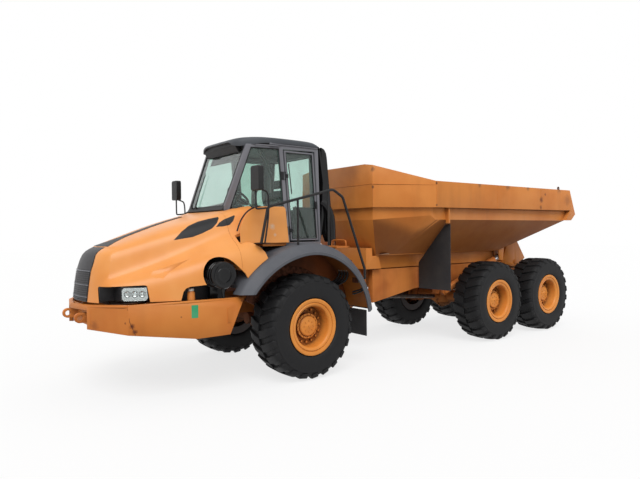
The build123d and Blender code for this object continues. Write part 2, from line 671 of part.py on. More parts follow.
with BuildPart() as left_mirror:
    add(rod_between((HANDRAIL_X, MIRROR_POST_Y, 2005), (HANDRAIL_X, MIRROR_POST_Y, 2860),
                    MIRROR_POST_RADIUS))
    add(block((1240, 1460), (-3080, -3020), (2727, 3063)))
    fillet(left_mirror.edges().filter_by(Axis.Y).filter_by(lambda edge: edge.length > 40), 30)
    add(block((1250, 1400), (-3130, -3061), (2000, 2012)))
save(mirrored(left_mirror.part), "mirrors")

with BuildPart() as exhaust_stack:
    add(rod_between((*EXHAUST, 1926), (*EXHAUST, 2450), SILENCER_RADIUS))
    add(tube_along([(*EXHAUST, 2400), (*EXHAUST, 2900), (EXHAUST[0], EXHAUST[1] + 120, 3060)], [110],
                   STACK_RADIUS))
    add(block((EXHAUST[0], -CAB_HALF - 1), (EXHAUST[1] - 20, EXHAUST[1] + 20), (2000, 2040)))
save(exhaust_stack.part, "exhaust_stack")

# ---------------------------------------------------------------- hitch and steering cylinders
eye_x, eye_y = STEER_EYE
with BuildPart() as hitch:
    add(rod_between((0, PIVOT_Y, HITCH_BLOCK_LOW), (0, PIVOT_Y, HITCH_BLOCK_HIGH), HITCH_BLOCK_RADIUS))
    add(rod_between((0, PIVOT_Y, EAR_LOW_Z - 20), (0, PIVOT_Y, EAR_HIGH_Z + EAR_THICK + 20),
                    PIVOT_PIN_RADIUS))
    add(rod_between((0, PIVOT_Y + 100, HITCH_Z), (0, PIVOT_Y + 760, HITCH_Z), TRUNNION_RADIUS))
    add(rod_between((0, PIVOT_Y + 180, HITCH_Z), (0, PIVOT_Y + 300, HITCH_Z), TRUNNION_RADIUS + 30))
    for low in (STEER_Z - STEER_ARM_GAP - STEER_EAR_THICK, STEER_Z + STEER_ARM_GAP):
        add(block((-eye_x, eye_x), (eye_y - STEER_ARM_RADIUS, eye_y + STEER_ARM_RADIUS),
                  (low, low + STEER_EAR_THICK)))
        for side in LEFT_RIGHT:
            add(rod_between((side * eye_x, eye_y, low), (side * eye_x, eye_y, low + STEER_EAR_THICK),
                            STEER_ARM_RADIUS))
save(hitch.part, "hitch")


def steering_line(side):
    """Base point, direction and pin-to-pin length of one steering cylinder."""
    base = Vector(side * STEER_BASE[0], STEER_BASE[1], STEER_Z)
    eye = Vector(side * STEER_EYE[0], STEER_EYE[1], STEER_Z)
    return base, (eye - base).normalized(), (eye - base).length


def cylinder_barrel(base, along, reach, radius, rod_radius, pin_axis, pin_radius, eye_width):
    """A cylinder's barrel with a base eye that turns on a pin."""
    half = pin_axis * (eye_width / 2)
    with BuildPart() as barrel:
        add(rod_between((base - half), (base + half), radius))
        add(rod_between((base + along * 20), (base + along * reach), radius))
        add(rod_between((base + along * (radius + 10)), (base + along * (reach + 10)),
                        rod_radius + RUNNING_GAP), mode=Mode.SUBTRACT)
        add(rod_between((base - pin_axis * 200), (base + pin_axis * 200),
                        pin_radius + RUNNING_GAP), mode=Mode.SUBTRACT)
    return barrel.part


def cylinder_rod(eye, along, length, radius, eye_radius, pin_axis, eye_width):
    """A piston rod with the eye at its free end."""
    half = pin_axis * (eye_width / 2)
    with BuildPart() as rod:
        add(rod_between((eye - along * length), eye, radius))
        add(rod_between((eye - half), (eye + half), eye_radius))
        add(rod_between((eye - pin_axis * 200), (eye + pin_axis * 200),
                        eye_radius * 0.5), mode=Mode.SUBTRACT)
    return rod.part


UP = Vector(0, 0, 1)
ACROSS = Vector(1, 0, 0)
for side, hand in ((1, "left"), (-1, "right")):
    steer_base, steer_along, steer_length = steering_line(side)
    save(cylinder_barrel(steer_base, steer_along, STEER_BARREL_REACH, STEER_BARREL_RADIUS,
                         STEER_ROD_RADIUS, UP, STEER_PIN_RADIUS, 2 * STEER_ARM_GAP),
         f"steering_barrel_{hand}")
    save(cylinder_rod(steer_base + steer_along * steer_length, steer_along, STEER_ROD_LENGTH,
                      STEER_ROD_RADIUS, STEER_EYE_RADIUS, UP, 2 * STEER_ARM_GAP - 14),
         f"steering_rod_{hand}")

# ---------------------------------------------------------------- rear frame
frame_outline = [
    (REAR_FRAME_FRONT_Y, 880), (875, 1070), (3155, 1070), (3175, 690), (3335, 690), (3355, 1070),
    (4300, 1070), (4300, 1300), (4190, 1440), (4150, 1540), (3980, 1540), (3930, REAR_FRAME_TOP_Z),
    (REAR_FRAME_FRONT_Y, REAR_FRAME_TOP_Z),
]
tip_base_y, tip_base_z = TIP_BASE
with BuildPart() as rear_chassis:
    for side in LEFT_RIGHT:
        add(side_slab(frame_outline, *sorted((side * SIDE_PLATE_INNER_X, side * SIDE_PLATE_OUTER_X))))
        add(side_slab([(tip_base_y - 90, 1100), (tip_base_y - 70, tip_base_z - 60),
                       (tip_base_y + 70, tip_base_z - 60), (tip_base_y + 90, 1100)],
                      *sorted((side * SIDE_PLATE_OUTER_X, side * (SIDE_PLATE_OUTER_X + 30)))))
        add(side_slab([(tip_base_y - 90, 1060), (tip_base_y - 70, tip_base_z - 60),
                       (tip_base_y + 70, tip_base_z - 60), (tip_base_y + 90, 1060)],
                      *sorted((side * SIDE_PLATE_INNER_X, side * SIDE_PLATE_OUTER_X))))
        add(rod_between((side * SIDE_PLATE_INNER_X, tip_base_y, tip_base_z),
                        (side * (TIP_CYLINDER_X + 60), tip_base_y, tip_base_z), TIP_PIN_RADIUS))
    add(rod_between((0, PIVOT_Y + 330, HITCH_Z), (0, PIVOT_Y + 760, HITCH_Z), COLLAR_RADIUS))
    for low, high, rear_y in ((880, 900, REAR_FRAME_FRONT_Y + 5), (1390, REAR_FRAME_TOP_Z, 75)):
        add(plan_slab([(-230, -560), (230, -560), (SIDE_PLATE_INNER_X, REAR_FRAME_FRONT_Y),
                       (SIDE_PLATE_INNER_X, rear_y), (-SIDE_PLATE_INNER_X, rear_y),
                       (-SIDE_PLATE_INNER_X, REAR_FRAME_FRONT_Y)], low, high))
    add(block((-SIDE_PLATE_INNER_X, SIDE_PLATE_INNER_X), (-330, -290), (HITCH_Z + 50, REAR_FRAME_TOP_Z)))
    for cross_y, cross_z in ((900, 1290), (1700, 1290), (3255, 1290), (4180, 1180)):
        add(rod_between((-SIDE_PLATE_INNER_X, cross_y, cross_z), (SIDE_PLATE_INNER_X, cross_y, cross_z),
                        CROSS_TUBE_RADIUS))
    add(rod_between((0, PIVOT_Y + 300, HITCH_Z), (0, TRUNNION_END_Y, HITCH_Z),
                    TRUNNION_RADIUS + RUNNING_GAP), mode=Mode.SUBTRACT)
    for side in LEFT_RIGHT:
        add(rod_between((side * SIDE_PLATE_INNER_X, BOGIE_Y, AXLE_Z),
                        (side * (BOGIE_INNER_X - 1), BOGIE_Y, AXLE_Z), BOGIE_PIVOT_RADIUS))
    add(rod_between((-SIDE_PLATE_OUTER_X - 60, TIP_HINGE_Y, TIP_HINGE_Z),
                    (SIDE_PLATE_OUTER_X + 60, TIP_HINGE_Y, TIP_HINGE_Z), TIP_PIN_RADIUS))
save(rear_chassis.part, "rear_chassis")

save(axle(MIDDLE_AXLE_Y, AXLE_TUBE_RADIUS), "middle_axle")
save(axle(REAR_AXLE_Y, AXLE_TUBE_RADIUS), "rear_axle")

with BuildPart() as left_bogie_beam:
    add(side_slab([(MIDDLE_AXLE_Y, 620), (BOGIE_Y, 660), (REAR_AXLE_Y, 620), (REAR_AXLE_Y, 920),
                   (BOGIE_Y, 930), (MIDDLE_AXLE_Y, 920)], BOGIE_INNER_X, BOGIE_OUTER_X))
    for end_y in (MIDDLE_AXLE_Y, REAR_AXLE_Y):
        add(rod_between((BOGIE_INNER_X, end_y, AXLE_Z), (BOGIE_OUTER_X, end_y, AXLE_Z), BOGIE_HUB_RADIUS))
    for end_y in (MIDDLE_AXLE_Y, REAR_AXLE_Y):
        add(rod_between((BOGIE_INNER_X - 50, end_y, AXLE_Z), (BOGIE_OUTER_X + 50, end_y, AXLE_Z),
                        AXLE_TUBE_RADIUS), mode=Mode.SUBTRACT)
save(mirrored(left_bogie_beam.part), "bogie_beams")

with BuildPart() as drive_shafts:
    add(rod_between((0, TRUNNION_END_Y, HITCH_Z), (0, MIDDLE_AXLE_Y - PINION_REACH - 5, AXLE_Z), 40))
    add(rod_between((0, MIDDLE_AXLE_Y + DIFFERENTIAL_RADIUS + 5, AXLE_Z),
                    (0, REAR_AXLE_Y - PINION_REACH, AXLE_Z), 50))
save(drive_shafts.part, "drive_shafts")

# ---------------------------------------------------------------- dump body
V_SIDE = Plane(origin=(WALL_X, 0, BAND_Z), z_dir=(BAND_Z - FLOOR_Z, 0, FLOOR_HALF - WALL_X))
CHEEK = Plane(origin=(FLOOR_HALF, 45, FLOOR_Z), z_dir=(0.8205, -0.2995, -0.4869))
CHAMFER = Plane(origin=(943, WALL_FRONT_Y, BAND_Z), z_dir=(995, -407, 0))
SIDE_WALL = Plane(origin=(WALL_X, 0, 0), z_dir=(1, 0, 0))
HEAD_SLOPE = Plane(origin=(0, WALL_FRONT_Y, BAND_Z),
                   z_dir=(0, FLOOR_Z - BAND_Z, WALL_FRONT_Y - FLOOR_FRONT_Y))
HEAD_WALL = Plane(origin=(0, WALL_FRONT_Y, 0), z_dir=(0, -1, 0))
FLOOR = Plane(origin=(0, 0, FLOOR_Z - PLATE), z_dir=(0, 0, -1))
RAMP = Plane(origin=(0, RAMP_START_Y, FLOOR_Z - PLATE),
             z_dir=(0, BAND_Z - FLOOR_Z, RAMP_START_Y - TAIL_BEAM_Y))
TOP = Plane(origin=(0, 0, BODY_TOP_Z), z_dir=(0, 0, 1))
TAIL = Plane(origin=(0, TAIL_Y, 2490), z_dir=(0, 530, 230))


def across(plane):
    """The same plane on the other side of the truck."""
    normal = plane.z_dir
    return Plane(origin=(-plane.origin.X, plane.origin.Y, plane.origin.Z),
                 z_dir=(-normal.X, normal.Y, normal.Z))


def both_sides(*planes):
    """Planes of the left side together with those of the right."""
    return [*planes, *(across(plane) for plane in planes)]


def inset(planes, depth):
    """Planes moved inwards by a plate's thickness."""
    return [plane.offset(-depth) for plane in planes]


tub_walls = both_sides(V_SIDE, CHEEK, CHAMFER, SIDE_WALL)
front_walls = [*both_sides(CHEEK, CHAMFER), HEAD_SLOPE, HEAD_WALL]
tub_outside = inside_planes([*tub_walls, HEAD_SLOPE, HEAD_WALL, FLOOR, RAMP, TOP, TAIL])
tub_inside = inside_planes(inset([*tub_walls, HEAD_SLOPE, HEAD_WALL, FLOOR, RAMP], PLATE))
above_floor = inside_planes(inset([FLOOR, RAMP], PLATE))
behind_front = inside_planes(inset(front_walls, PLATE))

BRACKET = [(3603, 1439), (3830, 2010), (4010, 2090), (4456, 1518), (4170, 1340), (3960, 1340)]
LUG = [(TIP_EYE[0] - 130, 2000), (TIP_EYE[0] - 60, TIP_EYE[1] - 70), (TIP_EYE[0] + 60, TIP_EYE[1] - 70),
       (TIP_EYE[0] + 130, 2000)]
FRONT_GUSSET = [(-475, BEAM_LOW_Z), (-475, 1860), (-330, 1860), (-330, FLOOR_Z - PLATE),
                (-180, FLOOR_Z - PLATE), (-115, BEAM_LOW_Z)]
with BuildPart() as dump_floor:
    add(tub_outside)
    for side in LEFT_RIGHT:
        add(block(sorted((side * BEAM_INNER_X, side * BEAM_OUTER_X)), (-330, 3755), (BEAM_LOW_Z, 2100)))
        add(side_slab(BRACKET, *sorted((side * BEAM_OUTER_X, side * (BEAM_OUTER_X + BRACKET_THICK)))))
        for lug_x in (TIP_CYLINDER_X - 60, TIP_CYLINDER_X + 60):
            add(side_slab(LUG, *sorted((side * (lug_x - TIP_LUG_THICK / 2),
                                        side * (lug_x + TIP_LUG_THICK / 2)))))
    for rib_y in FLOOR_RIBS_Y:
        add(block((-BEAM_INNER_X, BEAM_INNER_X), (rib_y, rib_y + FLOOR_RIB_THICK),
                  (BEAM_LOW_Z + 60, FLOOR_Z)))
    add(above_floor, mode=Mode.SUBTRACT)
    add(block((-BEAM_OUTER_X, BEAM_OUTER_X), (-475, -330), (BEAM_LOW_Z, 1860)))
    for side in LEFT_RIGHT:
        add(side_slab(FRONT_GUSSET, *sorted((side * BEAM_OUTER_X, side * (BEAM_OUTER_X + 80)))))
    add(rod_between((-700, TIP_HINGE_Y, TIP_HINGE_Z), (700, TIP_HINGE_Y, TIP_HINGE_Z),
                    TIP_PIN_RADIUS + RUNNING_GAP), mode=Mode.SUBTRACT)
save(dump_floor.part, "dump_floor")

# Side walls: the shell's sides behind the cheeks, with a box rail along the top
RAIL_END = [(SEAM_Y, RAIL_LOW_Z), (4965, 2575), (4840, 2420), (TAIL_BEAM_Y, 2356), (5010, 2356),
            (TAIL_Y, 2490), (4955, BODY_TOP_Z), (SEAM_Y, BODY_TOP_Z)]
with BuildPart() as left_side:
    add(tub_outside)
    add(tub_inside, mode=Mode.SUBTRACT)
    add(above_floor, mode=Mode.INTERSECT)
    add(behind_front, mode=Mode.INTERSECT)
    add(block((0, 3000), (-6000, 6000), (0, 4000)), mode=Mode.INTERSECT)
    add(side_slab(RAIL_END, WALL_X, RAIL_X))
    add(block((WALL_X, RAIL_X - 30), STIFFENER_Y, (BAND_Z - 60, RAIL_LOW_Z)))
save(mirrored(left_side.part), "dump_sides")

# Headboard: front wall, cheeks, front rail and the spill plates above them
front_rail = [(CORNER_X, RAIL_FRONT_Y), (RAIL_X, SEAM_Y), (WALL_X, SEAM_Y), (WALL_X, 440),
              (943, WALL_FRONT_Y), (-943, WALL_FRONT_Y), (-WALL_X, 440), (-WALL_X, SEAM_Y),
              (-RAIL_X, SEAM_Y), (-CORNER_X, RAIL_FRONT_Y)]
spill_run = hypot(RAIL_X - CORNER_X, SEAM_Y - RAIL_FRONT_Y)
spill_plane = Plane(origin=(CORNER_X, RAIL_FRONT_Y, 0), x_dir=(RAIL_X - CORNER_X, SEAM_Y - RAIL_FRONT_Y, 0),
                    z_dir=(SEAM_Y - RAIL_FRONT_Y, CORNER_X - RAIL_X, 0))
front_spill = [(-CORNER_X, FRONT_RAIL_TOP_Z), (CORNER_X, FRONT_RAIL_TOP_Z), (CORNER_X, HEADBOARD_CORNER_Z),
               (HEADBOARD_FLAT_X, HEADBOARD_TOP_Z), (-HEADBOARD_FLAT_X, HEADBOARD_TOP_Z),
               (-CORNER_X, HEADBOARD_CORNER_Z)]
side_spill = [(0, FRONT_RAIL_TOP_Z), (spill_run - 10, FRONT_RAIL_TOP_Z), (spill_run - 10, BODY_TOP_Z),
              (0, HEADBOARD_CORNER_Z)]
with BuildPart() as left_spill:
    with BuildSketch(spill_plane):
        with BuildLine():
            Polyline(*side_spill, close=True)
        make_face()
    extrude(amount=-SPILL_PLATE)
with BuildPart() as headboard:
    add(tub_outside)
    add(tub_inside, mode=Mode.SUBTRACT)
    add(above_floor, mode=Mode.INTERSECT)
    add(behind_front, mode=Mode.SUBTRACT)
    add(plan_slab(front_rail, RAIL_LOW_Z, FRONT_RAIL_TOP_Z))
    with BuildSketch(Plane(origin=(0, RAIL_FRONT_Y, 0), x_dir=(1, 0, 0), z_dir=(0, -1, 0))):
        with BuildLine():
            Polyline(*front_spill, close=True)
        make_face()
    extrude(amount=-SPILL_PLATE)
    add(mirrored(left_spill.part))
save(headboard.part, "headboard")

# Rubber flaps in front of the middle wheels, hung from the body's sides
with BuildPart() as left_body_flap:
    with BuildSketch(Plane(origin=(0, FLAP_Y, 0), x_dir=(1, 0, 0), z_dir=(0, -1, 0))):
        with BuildLine():
            Polyline((645, 1070), (1400, 1070), (1400, 2270), (1290, 2270), (645, 1560), close=True)
        make_face()
    extrude(amount=FLAP_THICK)
save(mirrored(left_body_flap.part), "dump_flaps")

# ---------------------------------------------------------------- tip cylinders
tip_base = Vector(TIP_CYLINDER_X, *TIP_BASE)
tip_eye = Vector(TIP_CYLINDER_X, *TIP_EYE)
tip_along = (tip_eye - tip_base).normalized()
save(mirrored(cylinder_barrel(tip_base, tip_along, TIP_BARREL_REACH, TIP_BARREL_RADIUS, TIP_ROD_RADIUS,
                              ACROSS, TIP_PIN_RADIUS, TIP_BARREL_EYE_WIDTH)), "tip_barrels")
save(mirrored(cylinder_rod(tip_eye, tip_along, TIP_ROD_LENGTH, TIP_ROD_RADIUS, TIP_EYE_RADIUS,
                           ACROSS, TIP_ROD_EYE_WIDTH)), "tip_rods")
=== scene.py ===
"""Looks of an articulated dump truck, built around its packed construction model.

Everything is in metres in the truck's own frame: +Z up, +Y towards the tail, +X towards the
driver's left, with the origin on the ground under the middle of the truck.
"""
import json
import logging
import math
from dataclasses import dataclass
from enum import Enum
from typing import Callable, Iterable, Sequence

import bmesh
import bpy
from mathutils import Matrix, Vector

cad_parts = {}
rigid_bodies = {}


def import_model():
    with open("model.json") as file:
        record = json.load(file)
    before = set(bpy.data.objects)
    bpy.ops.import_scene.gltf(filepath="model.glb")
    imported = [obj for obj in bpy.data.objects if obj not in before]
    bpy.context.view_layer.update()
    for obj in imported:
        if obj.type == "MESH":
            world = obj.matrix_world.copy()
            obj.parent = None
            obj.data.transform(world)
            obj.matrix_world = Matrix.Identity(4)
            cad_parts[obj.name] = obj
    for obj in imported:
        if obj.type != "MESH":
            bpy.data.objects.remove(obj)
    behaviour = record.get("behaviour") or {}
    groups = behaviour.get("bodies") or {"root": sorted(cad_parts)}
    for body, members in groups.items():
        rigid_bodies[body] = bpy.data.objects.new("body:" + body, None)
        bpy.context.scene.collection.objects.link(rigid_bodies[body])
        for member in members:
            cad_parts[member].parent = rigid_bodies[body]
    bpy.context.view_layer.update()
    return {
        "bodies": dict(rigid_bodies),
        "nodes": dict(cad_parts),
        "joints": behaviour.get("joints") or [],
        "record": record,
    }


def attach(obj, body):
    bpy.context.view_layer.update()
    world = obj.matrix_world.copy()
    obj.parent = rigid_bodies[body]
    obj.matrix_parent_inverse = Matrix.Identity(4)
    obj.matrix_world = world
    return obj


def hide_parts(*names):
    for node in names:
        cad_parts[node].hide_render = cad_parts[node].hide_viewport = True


LOG = logging.getLogger("dump_truck")
Point = Sequence[float]
Colour = tuple[int, int, int]  # screen levels of 0 to 255
UP = Vector((0, 0, 1))
ACROSS = Vector((1, 0, 0))
LENGTHWISE = Vector((0, 1, 0))
AXLE_Z = 0.77
FRONT_AXLE_Y, MIDDLE_AXLE_Y, REAR_AXLE_Y = -2.185, 2.365, 4.145
FRONT_AXLE = (FRONT_AXLE_Y, AXLE_Z)
TIP_HINGE_Y, TIP_HINGE_Z, TIP_PIN_REACH, TIP_PIN_EASE = 4.065, 1.44, 0.0455, 0.02
MERGE_GAP = 1e-5
CUT_GAP = 1e-6
SMOOTH_SHELL = 28
FRAME: dict = {}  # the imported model's nodes and bodies, filled by main


def paint_tone(red: int, green: int, blue: int) -> tuple[float, float, float, float]:
    """Turn a screen colour into the linear colour that a shader's socket takes.

    Args:
        red: Screen level of red, from 0 to 255.
        green: Screen level of green.
        blue: Screen level of blue.

    Returns:
        The linear colour, with an alpha of 1.
    """
    def linear(level: int) -> float:
        """One channel, by the curve that screens use."""
        share = level / 255
        return share / 12.92 if share <= 0.04045 else ((share + 0.055) / 1.055) ** 2.4

    return linear(red), linear(green), linear(blue), 1


# ---------------------------------------------------------------- shader maths
class Signal:
    """A shader socket that takes part in plain Python arithmetic."""

    def __init__(self, graph: "Graph", socket: bpy.types.NodeSocket) -> None:
        """Wrap a socket of a graph."""
        self.graph = graph
        self.socket = socket

    def _math(self, operation: str, *values: "Signal | float") -> "Signal":
        """Add one Math node over these values."""
        return self.graph.node("ShaderNodeMath", {"operation": operation}, dict(enumerate(values)))

    def __add__(self, other: "Signal | float") -> "Signal":
        """Sum."""
        return self._math("ADD", self, other)

    def __radd__(self, other: float) -> "Signal":
        """Sum with the number first."""
        return self._math("ADD", other, self)

    def __sub__(self, other: "Signal | float") -> "Signal":
        """Difference."""
        return self._math("SUBTRACT", self, other)

    def __rsub__(self, other: float) -> "Signal":
        """Difference with the number first."""
        return self._math("SUBTRACT", other, self)

    def __mul__(self, other: "Signal | float") -> "Signal":
        """Product."""
        return self._math("MULTIPLY", self, other)

    def __rmul__(self, other: float) -> "Signal":
        """Product with the number first."""
        return self._math("MULTIPLY", other, self)

    def clipped(self) -> "Signal":
        """Held between 0 and 1."""
        return self.graph.node("ShaderNodeMath", {"operation": "ADD", "use_clamp": True}, {0: self, 1: 0.0})

    def rise(self, low: float, high: float) -> "Signal":
        """Smooth step from 0 to 1.

        Args:
            low: Where it is 0.
            high: Where it is 1; it may be the smaller of the two, for a fall.

        Returns:
            The stepped signal.
        """
        return self.graph.node(
            "ShaderNodeMapRange", {"interpolation_type": "SMOOTHSTEP"},
            {"Value": self, "From Min": low, "From Max": high})


class Graph:
    """The node graph of one material or world."""

    def __init__(self, owner: bpy.types.Material | bpy.types.World,
                 output: str = "ShaderNodeOutputMaterial") -> None:
        """Empty the owner's node tree and give it an output node.

        Args:
            owner: The material or world.
            output: Type of its output node.
        """
        owner.use_nodes = True
        self.owner = owner
        self.tree = owner.node_tree
        self.tree.nodes.clear()
        self.output = self.tree.nodes.new(output)

    @classmethod
    def of_material(cls, name: str) -> "Graph":
        """The graph of a new material."""
        return cls(bpy.data.materials.new(name))

    def close(self, surface: Signal) -> bpy.types.Material | bpy.types.World:
        """Link the last shader to the output and return the owner."""
        self.tree.links.new(surface.socket, self.output.inputs[0])
        return self.owner

    def node(self, kind: str, settings: dict | None = None, inputs: dict | None = None,
             out: int | str = 0) -> Signal:
        """Add any node.

        Args:
            kind: The node's type.
            settings: Attributes that are set before its sockets.
            inputs: A value or a signal for each socket, by name or number.
            out: The output socket that is wanted, by name or number.

        Returns:
            The chosen output as a signal.
        """
        made = self.tree.nodes.new(kind)
        for key, value in (settings or {}).items():
            setattr(made, key, value)
        for key, value in (inputs or {}).items():
            if isinstance(value, Signal):
                self.tree.links.new(value.socket, made.inputs[key])
            else:
                made.inputs[key].default_value = value
        return Signal(self, made.outputs[out])

    def place(self, scale: Point = (1, 1, 1), shift: Point = (0, 0, 0)) -> Signal:
        """Object coordinates, stretched and shifted."""
        here = self.node("ShaderNodeTexCoord", out="Object")
        return self.node("ShaderNodeMapping", None, {"Vector": here, "Scale": scale, "Location": shift})

    def axis(self, name: str) -> Signal:
        """One object coordinate: X, Y or Z."""
        return self.node("ShaderNodeSeparateXYZ", None, {0: self.place()}, out=name)

    def noise(self, size: float, detail: float = 3, stretch: Point = (1, 1, 1), shift: float = 0) -> Signal:
        """Noise with features of about the given size in metres, from 0 to 1."""
        return self.node("ShaderNodeTexNoise", None, {"Vector": self.place(stretch, (shift, shift, shift)),
                                                      "Scale": 1 / size, "Detail": detail, "Roughness": 0.6})

    def near(self, centre: Point, reach: float) -> Signal:
        """1 at a place on the truck, falling raggedly to 0 at a reach from it."""
        ends = {0: self.place(), 1: centre}
        gap = self.node("ShaderNodeVectorMath", {"operation": "DISTANCE"}, ends, out="Value")
        ragged = self.noise(reach * 0.4, 4, shift=sum(centre)) * reach * 0.9
        return (gap + ragged).rise(reach * 1.35, reach * 0.55)

    def corners(self, reach: float) -> Signal:
        """How enclosed a point is, from 0 in the open to 1 in a deep corner."""
        return 1 - self.node("ShaderNodeAmbientOcclusion", {"samples": 8}, {"Distance": reach}, out="AO")

    def mix(self, amount: Signal | float, first: Signal | Colour, second: Signal | Colour) -> Signal:
        """Blend two colours.

        Args:
            amount: Share of the second colour.
            first: A signal, or a colour in screen levels.
            second: The same.

        Returns:
            The blended colour.
        """
        def wide(value: Signal | Colour) -> Signal | tuple:
            """A signal as it is, or a colour for a socket."""
            return value if isinstance(value, Signal) else paint_tone(*value)

        return self.node("ShaderNodeMix", {"data_type": "RGBA"}, {0: amount, 6: wide(first), 7: wide(second)},
                         out=2)

    def bump(self, height: Signal, depth: float, strength: float = 1.0) -> Signal:
        """A bumped normal from a height signal."""
        return self.node("ShaderNodeBump", None, {"Height": height, "Distance": depth, "Strength": strength})

    def finish(self, inputs: dict) -> bpy.types.Material:
        """Close the graph with one Principled shader and return the material."""
        return self.close(self.node("ShaderNodeBsdfPrincipled", None, inputs))


# ---------------------------------------------------------------- finishes
# The dark brown tone serves both for real soiling and streaks and for painted shade in corners and under
# downward faces.
GRIME_AND_SHADE = (84, 42, 20)
# The sooty tone serves both for real soot and for painted shadow under the truck, in the wheel houses and on
# the rims.
SOOT_AND_SHADE = (52, 40, 38)
CHIP = (206, 196, 180)
DUST = (150, 128, 104)
RUST = (92, 40, 20)


@dataclass(frozen=True)
class Mark:
    """A stain, scuff, rust patch or patch of painted shadow at a place on the truck."""

    centre: Point
    reach: float
    tone: Colour
    strength: float = 0.8


@dataclass(frozen=True)
class Enamel:
    """Sprayed paint with soiling and painted shade in its corners, painted shade on faces that look
    downwards, low dust, rust specks and marks.
    """

    name: str
    colour: Colour
    shade: Colour
    roughness: float = 0.42
    coat: float = 0.12
    # strength of the darkening in corners, partly soiling and partly painted shade
    grime_and_shade: float = 0.6
    streaks: float = 0.25
    dust_top: float = 0.9
    dust: float = 0.35
    rust: float = 0.15
    # strength of the painted shade on faces that look downwards
    under: float = 0.5
    # distance from the middle within which a rim is darkened as painted shade
    inboard_shade: float = 0.0
    marks: tuple[Mark, ...] = ()

    def material(self) -> bpy.types.Material:
        """Build the material."""
        graph = Graph.of_material(self.name)
        broad = graph.noise(0.9, 3)
        fine = graph.noise(0.03, 5)
        streak = graph.noise(0.34, 3, (1, 1, 0.22), 3.1)
        blotch = graph.noise(0.22, 5, shift=7.7)
        height = graph.axis("Z")
        normal = graph.node("ShaderNodeTexCoord", out="Normal")
        facing = graph.node("ShaderNodeSeparateXYZ", None, {0: normal}, out="Z")
        colour = graph.mix(broad.rise(0.35, 0.7), self.colour, self.shade)
        colour = graph.mix(streak.rise(0.45, 0.8) * self.streaks, colour, GRIME_AND_SHADE)
        # Painted shade: faces that look downwards are darkened towards the dark brown tone.
        below = facing.rise(-0.5, -0.6) * (blotch * 0.25 + 0.85) * self.under
        # Corners found by occlusion darken too, partly as soiling and partly as painted shade.
        grime_and_shade = (graph.corners(0.22).rise(0.25, 0.8) * (blotch * 0.8 + 0.55) * self.grime_and_shade + below).clipped()
        colour = graph.mix(grime_and_shade, colour, GRIME_AND_SHADE)
        dusty = height.rise(self.dust_top, self.dust_top - 0.7) * (blotch * 0.9 + fine * 0.5) * self.dust
        colour = graph.mix(dusty.clipped(), colour, DUST)
        specks = graph.noise(0.016, 4, shift=1.7).rise(0.7, 0.76) * blotch.rise(0.45, 0.62) * self.rust
        colour = graph.mix((specks * 3).clipped(), colour, RUST)
        # Painted shade: the part of a rim that lies inboard is darkened to the sooty tone.
        if self.inboard_shade:
            across = graph.axis("X")
            inner = (across * across).rise(self.inboard_shade ** 2, (self.inboard_shade - 0.05) ** 2)
            colour = graph.mix(inner, colour, SOOT_AND_SHADE)
        for mark in self.marks:
            colour = graph.mix(graph.near(mark.centre, mark.reach) * mark.strength, colour, mark.tone)
        rough = (broad * 0.12 + grime_and_shade * 0.3 + dusty * 0.35 + (self.roughness - 0.06)).clipped()
        return graph.finish({"Base Color": colour, "Roughness": rough, "Coat Weight": self.coat,
                             "Coat Roughness": 0.25, "Specular IOR Level": 0.3,
                             "Normal": graph.bump(fine + blotch * 2, 0.0012, 0.35)})


@dataclass(frozen=True)
class Moulded:
    """Plastic, rubber or flat paint with a grained surface and dust that lies in it."""

    name: str
    colour: Colour
    dusted: Colour
    roughness: float = 0.6
    grain: float = 0.004
    depth: float = 0.0006
    dust: float = 0.5
    sheen: float = 0.0

    def material(self) -> bpy.types.Material:
        """Build the material."""
        graph = Graph.of_material(self.name)
        broad = graph.noise(0.35, 4)
        cloud = graph.noise(0.07, 5, shift=5.3)
        grain = graph.noise(self.grain, 3)
        dusty = (broad.rise(0.3, 0.75) * (cloud * 0.8 + 0.3) * self.dust).clipped()
        colour = graph.mix(dusty, self.colour, self.dusted)
        rough = (cloud * 0.15 + dusty * 0.2 + (self.roughness - 0.1)).clipped()
        return graph.finish({"Base Color": colour, "Roughness": rough, "Sheen Weight": self.sheen,
                             "Specular IOR Level": 0.3, "Normal": graph.bump(grain + cloud, self.depth, 0.6)})


@dataclass(frozen=True)
class BareMetal:
    """Unpainted metal with oily soiling over it, and painted shade in its small corners."""

    name: str
    colour: Colour
    dirt_and_shade: Colour
    roughness: float = 0.35
    dirt_and_shade_share: float = 0.4
    metallic: float = 1.0

    def material(self) -> bpy.types.Material:
        """Build the material."""
        graph = Graph.of_material(self.name)
        cloud = graph.noise(0.06, 5)
        fine = graph.noise(0.006, 4, shift=2.2)
        # The mask is oily soiling from the noise and painted shade from the occlusion in corners.
        dirt_and_shade = (cloud.rise(0.4, 0.65) * self.dirt_and_shade_share + graph.corners(0.08) * self.dirt_and_shade_share).clipped()
        return graph.finish({"Base Color": graph.mix(dirt_and_shade, self.colour, self.dirt_and_shade),
                             "Metallic": (self.metallic * (1 - dirt_and_shade * 0.85)).clipped(),
                             "Roughness": (dirt_and_shade * 0.4 + fine * 0.15 + (self.roughness - 0.07)).clipped(),
                             "Normal": graph.bump(fine + cloud, 0.0008, 0.4)})


